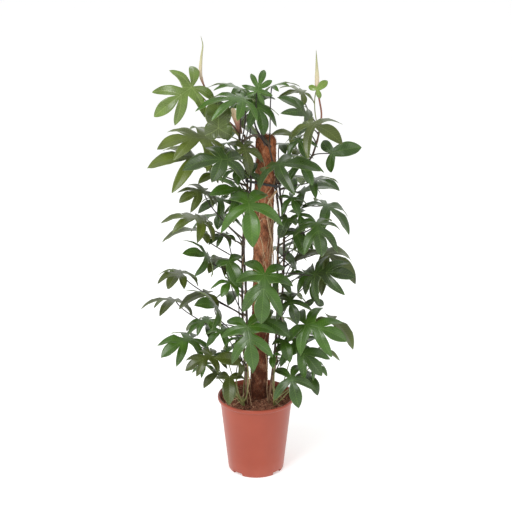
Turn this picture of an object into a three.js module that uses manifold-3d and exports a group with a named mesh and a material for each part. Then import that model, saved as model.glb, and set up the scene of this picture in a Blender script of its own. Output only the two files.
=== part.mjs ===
// A climbing oakleaf philodendron on a coir pole, in a round nursery pot.
// Millimetres, +Z up. The origin is the middle of the pot's flat underside, and -Y is the front.
import * as THREE from 'three';
import { mergeVertices } from 'three/addons/utils/BufferGeometryUtils.js';
import Module from 'manifold-3d';

const wasm = await Module();
wasm.setup();

// Driving dimensions
const GAP = 0.3; // between pieces that touch on the real plant

const POT_HEIGHT = 245;
const RIM_RADIUS = 120;
const FOOT_RADIUS = 87.5;
const WALL = 2.2;
const FLOOR = 3;
const LIP_HEIGHT = 12;
const LIP_STEP = 8; // how far the lip stands out from the wall under it
const LIP_THICKNESS = 7;
const POT_SIDES = 32;
// The notches under the foot and the drain holes in them: radii, heights and angles
const NOTCH = { from: 60, height: 9, wide: 23, turned: [-41, 49, 139, 229], roof: 2.2, hole: 4 };

const SOIL_LEVEL = 229; // at the wall
const SOIL_MOUND = 9; // how much higher it is at the middle

const POLE_TOP = 1064;
const POLE_FOOT = 40;
const POLE_RADIUS = 25.5; // at the ground, and 1 mm more for every 190 mm up
const POLE_SWELL = 1 / 190;
const POLE_LEAN = { x: 1, perHeight: 0.027 };
const STAKE_RADIUS = 9;
const STAKE_FOOT = 12;
const STAKE_TOP = 1020;

const STEM_RADIUS = 3.6;
const STEM_TAPER = 0.2; // how much thinner a stem is at its top
const STEM_FOOT = 190; // how deep the stems stand in the soil
const PETIOLE_RADIUS = 1.5;
const BLADE_THICKNESS = 0.8;

const TIE = { z: 926, height: 8, thickness: 1.2, clear: 0.8, slope: 0.2 };

const LEAF_GREEN = 0x3f6b2a;
const YOUNG_GREEN = 0x86a548;
const PETIOLE_BROWN = 0x3b2a26;

// Small helpers

const TO_RADIANS = Math.PI / 180;

function material(color, roughness) {
  return new THREE.MeshStandardMaterial({ color, roughness, metalness: 0 });
}

/** A repeatable source of numbers from 0 to 1. */
function seeded(seed) {
  let state = seed >>> 0;
  return () => {
    state = (state + 0x6d2b79f5) >>> 0;
    let t = state;
    t = Math.imul(t ^ (t >>> 15), t | 1);
    t ^= t + Math.imul(t ^ (t >>> 7), t | 61);
    return ((t ^ (t >>> 14)) >>> 0) / 4294967296;
  };
}

function closedGeometry(vertices, faces) {
  const geometry = new THREE.BufferGeometry();
  geometry.setAttribute('position', new THREE.Float32BufferAttribute(vertices.flat(), 3));
  geometry.setIndex(faces.flat());
  return geometry;
}

function toSolid(geometry) {
  const bare = geometry.clone();
  bare.deleteAttribute('normal');
  bare.deleteAttribute('uv');
  const merged = mergeVertices(bare, 1e-4);
  return new wasm.Manifold(new wasm.Mesh({
    numProp: 3,
    vertProperties: new Float32Array(merged.attributes.position.array),
    triVerts: new Uint32Array(merged.index.array),
  }));
}

function toGeometry(solid) {
  const mesh = solid.getMesh();
  const geometry = new THREE.BufferGeometry();
  geometry.setAttribute('position', new THREE.BufferAttribute(new Float32Array(mesh.vertProperties), 3));
  geometry.setIndex(new THREE.BufferAttribute(new Uint32Array(mesh.triVerts), 1));
  return geometry;
}

/** A closed tube along a curve, with a radius that may change along it. */
function sweep(curve, steps, sides, radiusAt) {
  const frames = curve.computeFrenetFrames(steps, false);
  const vertices = [];
  const faces = [];
  for (let i = 0; i <= steps; i += 1) {
    const centre = curve.getPointAt(i / steps);
    for (let j = 0; j < sides; j += 1) {
      const turn = (j / sides) * 2 * Math.PI;
      const radius = radiusAt(i / steps, turn);
      const spoke = frames.normals[i].clone().multiplyScalar(Math.cos(turn) * radius)
        .addScaledVector(frames.binormals[i], Math.sin(turn) * radius);
      vertices.push(centre.clone().add(spoke).toArray());
    }
  }
  const start = vertices.push(curve.getPointAt(0).toArray()) - 1;
  const end = vertices.push(curve.getPointAt(1).toArray()) - 1;
  for (let j = 0; j < sides; j += 1) {
    const next = (j + 1) % sides;
    for (let i = 0; i < steps; i += 1) {
      const a = i * sides + j;
      const b = i * sides + next;
      faces.push([a, b, b + sides], [a, b + sides, a + sides]);
    }
    faces.push([start, next, j]);
    faces.push([end, steps * sides + j, steps * sides + next]);
  }
  return closedGeometry(vertices, faces);
}

function curveThrough(points) {
  return new THREE.CatmullRomCurve3(points.map((point) => new THREE.Vector3(...point)));
}

function polar(radius, degrees, z = 0) {
  return new THREE.Vector3(
    radius * Math.cos(degrees * TO_RADIANS), radius * Math.sin(degrees * TO_RADIANS), z);
}

// Pot and soil

/** The radius of the pot's outer wall at a height, under the lip. */
function wallRadius(z) {
  const underLip = RIM_RADIUS - LIP_STEP;
  return FOOT_RADIUS + (underLip - FOOT_RADIUS) * (z / (POT_HEIGHT - LIP_HEIGHT));
}

function lathe(profile) {
  const outline = profile.map(([radius, z]) => new THREE.Vector2(radius, z));
  return toSolid(new THREE.LatheGeometry(outline, POT_SIDES).rotateX(Math.PI / 2));
}

/** A wedge of the pot's foot between two radii, as a block round the axis. */
function footWedge(inner, outer, wide, low, high, degrees) {
  const shape = new THREE.Shape();
  const half = (wide / 2) * TO_RADIANS;
  shape.moveTo(inner * Math.cos(half), -inner * Math.sin(half));
  shape.lineTo(outer, -outer * Math.tan(half));
  shape.lineTo(outer, outer * Math.tan(half));
  shape.lineTo(inner * Math.cos(half), inner * Math.sin(half));
  shape.closePath();
  const block = new THREE.ExtrudeGeometry(shape, { depth: high - low, bevelEnabled: false, steps: 1 });
  return toSolid(block.translate(0, 0, low).rotateZ(degrees * TO_RADIANS));
}

/** The raised blocks in the pot's floor that the notches are cut into, grown by a margin. */
function notchRoofs(margin) {
  const room = NOTCH.roof + margin;
  return NOTCH.turned.map((degrees) => footWedge(
    NOTCH.from - room, FOOT_RADIUS + 20, NOTCH.wide + 4 + margin, 0, NOTCH.height + room, degrees));
}

function potCavity(shrink) {
  const top = POT_HEIGHT + 1;
  return lathe([
    [0, FLOOR + shrink],
    [wallRadius(FLOOR) - WALL - shrink, FLOOR + shrink],
    [wallRadius(POT_HEIGHT - LIP_HEIGHT) - WALL - shrink, POT_HEIGHT - LIP_HEIGHT],
    [RIM_RADIUS - LIP_THICKNESS - shrink, POT_HEIGHT - 3],
    [RIM_RADIUS - LIP_THICKNESS - shrink, top],
    [0, top],
  ]);
}

function potSolid() {
  const underLip = POT_HEIGHT - LIP_HEIGHT;
  const body = lathe([
    [0, 0],
    [FOOT_RADIUS - 2, 0],
    [FOOT_RADIUS, 2],
    [wallRadius(underLip), underLip],
    [RIM_RADIUS - 2.5, underLip + 0.4],
    [RIM_RADIUS - 0.6, underLip + 2.4],
    [RIM_RADIUS, underLip + 6],
    [RIM_RADIUS - 0.8, POT_HEIGHT - 2],
    [RIM_RADIUS - 2.6, POT_HEIGHT],
    [RIM_RADIUS - 5.2, POT_HEIGHT - 0.6],
    [0, POT_HEIGHT - 0.6],
  ]);
  const roofs = lathe([
    [0, 0],
    [wallRadius(0) - WALL / 2, 0],
    [wallRadius(NOTCH.height + 5) - WALL / 2, NOTCH.height + 5],
    [0, NOTCH.height + 5],
  ]);
  let pot = body.subtract(potCavity(0));
  for (const block of notchRoofs(0)) {
    pot = pot.add(block.intersect(roofs));
  }
  for (const degrees of NOTCH.turned) {
    pot = pot.subtract(footWedge(NOTCH.from, FOOT_RADIUS + 20, NOTCH.wide, -1, NOTCH.height, degrees));
    const hole = new THREE.CylinderGeometry(NOTCH.hole, NOTCH.hole, 12, 10).rotateX(Math.PI / 2);
    const at = polar(FOOT_RADIUS - 12, degrees, NOTCH.height + 1);
    pot = pot.subtract(toSolid(hole.translate(at.x, at.y, at.z)));
  }
  return pot;
}

/** The soil's top, lumpy and a little higher at the middle. */
function soilHeight(x, y) {
  const outward = Math.hypot(x, y) / RIM_RADIUS;
  const lumps = Math.sin(x * 0.11 + 1.3) * Math.cos(y * 0.13 - 0.4) + 0.7 * Math.sin(x * 0.23 - y * 0.19);
  return SOIL_LEVEL + SOIL_MOUND * (1 - outward * outward) + 1.3 * lumps;
}

function soilTopCutter() {
  const side = 2 * RIM_RADIUS + 20;
  const cells = 8;
  const block = new THREE.BoxGeometry(side, side, 80, cells, cells, 1);
  block.translate(0, 0, SOIL_LEVEL + 30);
  const position = block.attributes.position;
  for (let i = 0; i < position.count; i += 1) {
    if (position.getZ(i) < SOIL_LEVEL) {
      position.setZ(i, soilHeight(position.getX(i), position.getY(i)));
    }
  }
  return toSolid(block);
}

function soilSolid(standing) {
  let soil = potCavity(GAP);
  for (const block of notchRoofs(GAP)) {
    soil = soil.subtract(block);
  }
  soil = soil.subtract(soilTopCutter());
  for (const hole of standing) {
    soil = soil.subtract(hole);
  }
  return soil;
}

// Pole

function poleCentre(z) {
  return new THREE.Vector3(POLE_LEAN.x + z * POLE_LEAN.perHeight, 0, z);
}

function poleRadius(z) {
  return POLE_RADIUS + z * POLE_SWELL;
}

function poleCurve(low, high) {
  return new THREE.LineCurve3(poleCentre(low), poleCentre(high));
}

/** The coir roll, or with a margin the room that what lies on it is cut to. */
function coirBody(margin) {
  const length = POLE_TOP - POLE_FOOT;
  const bulge = (along, turn) => 0.9 * Math.sin(along * 37 + turn) + 0.7 * Math.sin(along * 71 - 3 * turn);
  return toSolid(sweep(poleCurve(POLE_FOOT, POLE_TOP), 15, 14,
    (along, turn) => poleRadius(POLE_FOOT + along * length) - 1.6 + bulge(along, turn) + margin));
}

function coirSolid() {
  return coirBody(0).subtract(stakeSolid(GAP));
}

function stakeSolid(margin) {
  const line = poleCurve(STAKE_FOOT - margin, STAKE_TOP + margin);
  return toSolid(sweep(line, 1, 10, () => STAKE_RADIUS + margin));
}

function poleHole() {
  const plug = sweep(poleCurve(POLE_FOOT - GAP, SOIL_LEVEL + 40), 4, 16,
    (along) => poleRadius(POLE_FOOT + along * (SOIL_LEVEL - POLE_FOOT)) + 0.6);
  return toSolid(plug).add(stakeSolid(GAP));
}

// Stems

const STEMS = {
  lf: [[-28, -38, STEM_FOOT], [-30, -40, 260], [-26, -40, 400], [-30, -38, 600], [-36, -34, 750],
    [-26, -28, 900], [-26, -28, 950], [-38, -34, 1010], [-52, -36, 1085]],
  lb: [[-24, 24, STEM_FOOT], [-30, 26, 260], [-38, 24, 400], [-42, 20, 600], [-36, 20, 780],
    [-16, 16, 900], [-16, 16, 950], [-26, 24, 1010], [-34, 34, 1060]],
  rf: [[34, -44, STEM_FOOT], [48, -42, 320], [62, -38, 480], [64, -36, 700], [68, -32, 820],
    [60, -22, 900], [58, -22, 950], [46, -40, 1000], [34, -42, 1055]],
  rb: [[40, 24, STEM_FOOT], [52, 22, 280], [72, 14, 440], [84, 6, 700], [80, 4, 820],
    [70, 6, 900], [69, 6, 955], [92, -2, 980], [152, -10, 992], [172, -14, 1035], [186, -14, 1100]],
};
const STEM_NAMES = {
  lf: 'stem_left_front', lb: 'stem_left_back', rf: 'stem_right_front', rb: 'stem_right_back',
};
const INTERNODE = 62; // height between two rings
const STEM_SIDES = 6;

function stemCurve(key) {
  return curveThrough(STEMS[key]);
}

function stemRadius(along, length) {
  const taper = STEM_RADIUS * (1 - STEM_TAPER * along);
  const ring = (along * length) / INTERNODE;
  const nearRing = Math.abs(ring - Math.round(ring));
  return taper * (nearRing < 0.12 ? 1.16 : 1);
}

function stemSteps(length) {
  return Math.round((1.25 * length) / INTERNODE);
}

/** A stem, or with a margin the room that what grows from it is cut to. */
function stemGeometry(key, margin) {
  const curve = stemCurve(key);
  const length = curve.getLength();
  return sweep(curve, stemSteps(length), STEM_SIDES, (along) => stemRadius(along, length) + margin);
}

/** What grows from a stem, cut clear of it, without any loose scrap. */
function cutToStem(solid, key) {
  const room = toSolid(stemGeometry(key, GAP / Math.cos(Math.PI / STEM_SIDES)));
  const bodies = solid.subtract(room).decompose();
  return bodies.sort((one, other) => other.volume() - one.volume())[0];
}

function stemHole(key) {
  const [foot, next] = STEMS[key];
  const reach = new THREE.Vector3(...next).sub(new THREE.Vector3(...foot));
  const low = new THREE.Vector3(...foot).addScaledVector(reach, -0.01);
  const high = new THREE.Vector3(...foot).addScaledVector(reach, 1.1);
  return toSolid(sweep(new THREE.LineCurve3(low, high), 1, 8, () => STEM_RADIUS * 1.16 + 1.2));
}

/** How far along its length a stem reaches a height. */
function stemAlong(key, z) {
  const curve = stemCurve(key);
  let low = 0;
  let high = 1;
  for (let i = 0; i < 30; i += 1) {
    const middle = (low + high) / 2;
    if (curve.getPointAt(middle).z < z) {
      low = middle;
    } else {
      high = middle;
    }
  }
  return low;
}

function stemAt(key, z) {
  return stemCurve(key).getPointAt(stemAlong(key, z));
}

/** The radius of the stem's solid at a height, between the rings of its points. */
function stemRadiusAt(key, z) {
  const length = stemCurve(key).getLength();
  const steps = stemSteps(length);
  const at = stemAlong(key, z) * steps;
  const below = Math.min(Math.floor(at), steps - 1);
  const low = stemRadius(below / steps, length);
  return low + (stemRadius((below + 1) / steps, length) - low) * (at - below);
}

/** How far the stem's surface stands out, in a direction, beside the foot of a petiole. */
function stemReach(key, z, outward) {
  const middle = stemAt(key, z);
  const reaches = [-6, -3, 0, 3, 6].map((rise) => (
    stemAt(key, z + rise).sub(middle).dot(outward) + stemRadiusAt(key, z + rise)));
  return Math.max(...reaches);
}

// Leaves

// Lobes on one side of the middle rib, from the back of the blade to its tip. The angle is from the
// middle rib in degrees, length and half width are shares of the blade's length, from is how far up the
// middle rib the lobe starts, and notch is how far out the cut before it lies.
const FORMS = {
  A: {
    width: 0.18,
    side: [
      { angle: 142, length: 0.66, width: 0.128, from: 0, notch: 0.05 },
      { angle: 94, length: 0.68, width: 0.104, from: 0, notch: 0.11 },
      { angle: 56, length: 0.66, width: 0.108, from: 0.3, notch: 0.12 },
    ],
    notch: 0.11,
  },
  B: {
    width: 0.2,
    side: [
      { angle: 148, length: 0.68, width: 0.14, from: 0, notch: 0.05 },
      { angle: 74, length: 0.86, width: 0.115, from: 0.13, notch: 0.13 },
    ],
    notch: 0.13,
  },
  C: {
    width: 0.24,
    side: [{ angle: 122, length: 0.62, width: 0.17, from: 0, notch: 0.06 }],
    notch: 0.17,
  },
  D: {
    width: 0.13,
    side: [
      { angle: 140, length: 0.55, width: 0.08, from: 0, notch: 0.05 },
      { angle: 90, length: 0.62, width: 0.08, from: 0, notch: 0.1 },
      { angle: 48, length: 0.62, width: 0.09, from: 0.16, notch: 0.12 },
    ],
    notch: 0.12,
  },
  E: {
    width: 0.4,
    side: [{ angle: 125, length: 0.5, width: 0.24, from: 0, notch: 0.2 }],
    notch: 0.4,
  },
  F: {
    width: 0.21,
    side: [
      { angle: 150, length: 0.55, width: 0.15, from: 0, notch: 0.06 },
      { angle: 78, length: 0.6, width: 0.14, from: 0.13, notch: 0.16 },
    ],
    notch: 0.15,
  },
  G: {
    width: 0.15,
    side: [
      { angle: 142, length: 0.66, width: 0.11, from: 0, notch: 0.05 },
      { angle: 96, length: 0.7, width: 0.086, from: 0, notch: 0.1 },
      { angle: 58, length: 0.68, width: 0.088, from: 0.28, notch: 0.11 },
    ],
    notch: 0.1,
  },
};

// Rows of points across a lobe stand closer near its tip, where its outline turns most
const SHARE_POWER = 0.8;

// How fast a lobe widens from its neck and narrows to its tip, and the widest of the two together
const LOBE = { widen: 1.15, narrow: 0.8, widest: 0.2678 };

/** Half the width of a lobe at a share of its length, as a share of its widest. */
function lobeOutline(along) {
  return (along ** LOBE.widen * Math.max(0, 1 - along) ** LOBE.narrow) / LOBE.widest;
}

/** All lobes of one leaf in order round the hub, each a little different. */
function leafLobes(leaf) {
  const random = seeded(leaf.seed);
  const form = FORMS[leaf.form];
  const vary = (amount) => 1 + amount * (2 * random() - 1);
  const turn = (amount) => amount * (2 * random() - 1);
  const make = (lobe, sign) => ({
    sign,
    angle: sign * (lobe.angle + turn(5)) * TO_RADIANS,
    length: leaf.length * lobe.length * vary(0.1),
    width: leaf.length * lobe.width * vary(0.1),
    from: leaf.length * lobe.from,
    bend: leaf.curl * vary(0.5),
    twist: turn(14) * TO_RADIANS,
    notch: lobe.notch,
  });
  const right = form.side.map((lobe) => make(lobe, -1));
  const left = form.side.map((lobe) => make(lobe, 1));
  const first = form.side[form.side.length - 1].from;
  const middle = {
    sign: 0, angle: 0, length: leaf.length * (1 - first), width: leaf.length * form.width,
    from: leaf.length * first, bend: leaf.curl * 0.6, twist: turn(6) * TO_RADIANS, notch: form.notch,
  };
  return [...right, middle, ...left.reverse()];
}

/** A point of a lobe's rib in the flat blade, and the direction across it. */
function ribPoint(lobe, e) {
  const forward = -0.16 * lobe.sign * (e / lobe.length);
  const angle = lobe.angle + forward;
  const along = new THREE.Vector2(Math.cos(angle), Math.sin(angle));
  return {
    at: new THREE.Vector2(lobe.from + along.x * e, along.y * e),
    along,
    across: new THREE.Vector2(-along.y, along.x),
  };
}

/** The cut between two neighbouring lobes. */
function notchPoint(before, after, leaf) {
  let middle = (before.angle + after.angle) / 2;
  let from = (before.from + after.from) / 2;
  let depth = Math.max(before.notch, after.notch) * leaf.length;
  if (before.sign > after.sign) {
    middle = Math.PI;
    from = 0;
    depth = before.notch * leaf.length;
  }
  return new THREE.Vector2(from + Math.cos(middle) * depth, Math.sin(middle) * depth);
}

/**
 * The triangles of the blade's upper face. rowsOf gives how many steps a lobe has past the cut, base is
 * how many it has before it, and cross how many there are from its rib to its edge.
 */
function bladeTriangles(leaf, base, rowsOf, cross) {
  const lobes = leafLobes(leaf);
  const soup = [];
  const count = lobes.length;
  const point = (lobe, rib, edge, past, e, t) => {
    const flat = rib.clone().lerp(edge, t);
    return shapePoint(leaf, lobe, flat, rib.distanceTo(edge) * t, past, e, t);
  };
  const strip = (lobe, ribs, edges, pasts, es, flip) => {
    for (let k = 0; k + 1 < ribs.length; k += 1) {
      for (let c = 0; c < cross; c += 1) {
        const corner = (i, j) => point(lobe, ribs[i], edges[i], pasts[i], es[i], j / cross);
        const quad = [corner(k, c), corner(k + 1, c), corner(k + 1, c + 1), corner(k, c + 1)];
        for (const [p, q, r] of [[0, 1, 2], [0, 2, 3]]) {
          const triangle = flip ? [quad[p], quad[r], quad[q]] : [quad[p], quad[q], quad[r]];
          soup.push(triangle);
        }
      }
    }
  };
  lobes.forEach((lobe, index) => {
    const rows = rowsOf(lobe);
    const before = lobes[(index + count - 1) % count];
    const after = lobes[(index + 1) % count];
    const cuts = [
      { side: -1, cut: notchPoint(before, lobe, leaf), neighbour: before },
      { side: 1, cut: notchPoint(lobe, after, leaf), neighbour: after },
    ];
    const start = ribPoint(lobe, 0).at;
    const own = cuts.filter(({ neighbour }) => neighbour.from >= lobe.from || lobe.sign === 0);
    const e0 = own.reduce((sum, { cut }) => sum + cut.clone().sub(start).dot(ribPoint(lobe, 0).along), 0)
      / own.length;
    const reach = Math.min(Math.max(e0, 0.12 * lobe.length), 0.4 * lobe.length);
    const stations = [];
    const pasts = [];
    for (let k = 0; k <= base + rows; k += 1) {
      const past = Math.max(0, (k - base) / rows) ** SHARE_POWER;
      pasts.push(past);
      stations.push(k < base ? (k / base) * reach : reach + past * (lobe.length - reach));
    }
    for (const { side, cut, neighbour } of cuts) {
      const lower = neighbour.from < lobe.from && lobe.sign !== 0;
      const pinned = lower ? 0 : base;
      const offset = (e) => {
        const rib = ribPoint(lobe, e);
        return rib.at.clone().addScaledVector(rib.across, side * lobe.width * lobeOutline(e / lobe.length));
      };
      const pull = cut.clone().sub(offset(stations[pinned]));
      const ribs = stations.map((e) => ribPoint(lobe, e).at);
      const edges = stations.map((e, k) => {
        if (k < pinned) {
          return start.clone().lerp(cut, k / base);
        }
        const x = (e - stations[pinned]) / (lobe.length - stations[pinned]);
        return offset(e).addScaledVector(pull, (1 - x) ** 2);
      });
      strip(lobe, ribs, edges, pasts, stations, side < 0);
      if (lower) {
        const hub = new THREE.Vector2(0, 0);
        const steps = Array.from({ length: base + 1 }, (_, k) => k / base);
        strip(lobe, steps.map((s) => hub.clone().lerp(start, s)), steps.map((s) => hub.clone().lerp(cut, s)),
          steps.map(() => 0), steps.map(() => 0), side < 0);
      }
    }
  });
  return soup;
}

/** A flat point of the blade in its bent place, in the blade's own frame. */
function shapePoint(leaf, lobe, flat, out, past, e, t) {
  const rib = ribPoint(lobe, e);
  const place = new THREE.Vector3(flat.x, flat.y, 0);
  if (past > 0) {
    const tail = past * lobe.length * 0.75;
    const bend = lobe.bend / lobe.length;
    const shorter = tail - (Math.abs(bend) > 1e-6 ? Math.sin(bend * tail) / bend : tail);
    place.x -= rib.along.x * shorter;
    place.y -= rib.along.y * shorter;
    place.z -= Math.abs(bend) > 1e-6 ? (1 - Math.cos(bend * tail)) / bend : 0;
    const side = Math.sign(rib.across.dot(flat.clone().sub(rib.at)));
    const ramp = Math.min(1, past * 2.5);
    place.z += out * ramp * (Math.tan(leaf.fold) + side * Math.tan(lobe.twist));
  }
  const reach = Math.hypot(place.x, place.y);
  const droop = leaf.droop / leaf.length;
  if (reach > 1e-6) {
    const shrink = Math.sin(droop * reach) / (droop * reach);
    place.x *= shrink;
    place.y *= shrink;
    place.z -= (1 - Math.cos(droop * reach)) / droop;
  }
  return place;
}

/** A thin closed blade from its upper face: the lower face has the same triangles. */
function bladeGeometry(leaf) {
  const rowsOf = (lobe) => (lobe.sign === 0 && leaf.form !== 'C' ? 3 : 2);
  const soup = bladeTriangles(leaf, 1, rowsOf, 1);
  const loose = new THREE.BufferGeometry();
  const flat = soup.flatMap((triangle) => triangle.flatMap((corner) => corner.toArray()));
  loose.setAttribute('position', new THREE.Float32BufferAttribute(flat, 3));
  const upper = mergeVertices(loose, 1e-3);
  const index = Array.from(upper.index.array);
  const faces = [];
  for (let i = 0; i < index.length; i += 3) {
    const face = index.slice(i, i + 3);
    if (new Set(face).size === 3) {
      faces.push(face);
    }
  }
  upper.setIndex(faces.flat());
  upper.computeVertexNormals();
  const place = upper.attributes.position;
  const normal = upper.attributes.normal;
  const vertices = [];
  for (const level of [0, -1]) {
    for (let i = 0; i < place.count; i += 1) {
      const at = new THREE.Vector3().fromBufferAttribute(place, i);
      const down = new THREE.Vector3().fromBufferAttribute(normal, i);
      vertices.push(at.addScaledVector(down, level * BLADE_THICKNESS).toArray());
    }
  }
  const count = place.count;
  const edges = new Map();
  for (const [a, b, c] of faces) {
    for (const [p, q] of [[a, b], [b, c], [c, a]]) {
      edges.set(`${p},${q}`, [p, q]);
    }
  }
  const all = [...faces];
  for (const [a, b, c] of faces) {
    all.push([c + count, b + count, a + count]);
  }
  for (const [p, q] of edges.values()) {
    if (!edges.has(`${q},${p}`)) {
      all.push([q, p, p + count], [q, p + count, q + count]);
    }
  }
  return closedGeometry(vertices, all);
}

/** The frame of a blade: x along its middle rib, z out of its upper face. */
function bladeFrame(leaf) {
  const aim = leaf.aim * TO_RADIANS;
  const dip = leaf.dip * TO_RADIANS;
  const roll = leaf.roll * TO_RADIANS;
  const along = new THREE.Vector3(
    Math.cos(dip) * Math.cos(aim), Math.cos(dip) * Math.sin(aim), -Math.sin(dip));
  const level = new THREE.Vector3(-Math.sin(aim), Math.cos(aim), 0);
  const up = new THREE.Vector3().crossVectors(along, level);
  const normal = up.clone().multiplyScalar(Math.cos(roll)).addScaledVector(level, Math.sin(roll));
  const across = new THREE.Vector3().crossVectors(normal, along);
  const frame = new THREE.Matrix4().makeBasis(along, across, normal);
  frame.setPosition(...leaf.hub);
  return { frame, along, normal };
}

function leaveDirection(leaf) {
  return leaf.outward.clone().multiplyScalar(0.75).add(new THREE.Vector3(0, 0, 0.65)).normalize();
}

/** The petiole's curve from its stem to the hub, which it meets from behind and below. */
function petioleCurve(leaf) {
  const { along, normal } = bladeFrame(leaf);
  const start = leaf.start.clone().addScaledVector(leaf.outward, leaf.clear);
  const hub = new THREE.Vector3(...leaf.hub).addScaledVector(normal, -0.5 * BLADE_THICKNESS);
  const reach = hub.distanceTo(start);
  const leave = leaveDirection(leaf);
  const arrive = along.clone().multiplyScalar(0.55).addScaledVector(normal, 0.83);
  const aside = Math.min(0.28 * reach, 55);
  return new THREE.CubicBezierCurve3(
    start,
    start.clone().addScaledVector(leave, Math.min(0.3 * reach, 60)),
    hub.clone().addScaledVector(arrive, -aside),
    hub,
  );
}

/** A petiole, wider at its foot, which is slanted to lie on the stem. */
function petioleGeometry(leaf) {
  const sides = 3;
  const thick = PETIOLE_RADIUS * leaf.thick;
  const point = 0.25 / thick;
  const radiusAt = (along) => (along === 1 ? point : 1 + 0.9 * Math.max(0, 1 - along * 6));
  const curve = petioleCurve(leaf);
  const petiole = sweep(curve, 5, sides, (along) => thick * radiusAt(along));
  const leave = leaveDirection(leaf);
  const start = curve.getPointAt(0);
  const position = petiole.attributes.position;
  for (let i = 0; i < sides; i += 1) {
    const corner = new THREE.Vector3().fromBufferAttribute(position, i);
    const short = corner.clone().sub(start).dot(leaf.outward) / leave.dot(leaf.outward);
    corner.addScaledVector(leave, -short);
    position.setXYZ(i, corner.x, corner.y, corner.z);
  }
  return petiole;
}

function leafSolid(leaf) {
  const blade = toSolid(bladeGeometry(leaf).applyMatrix4(bladeFrame(leaf).frame));
  const petiole = toSolid(petioleGeometry(leaf));
  return blade.add(leaf.cut ? cutToStem(petiole, leaf.carrier) : petiole);
}

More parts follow.
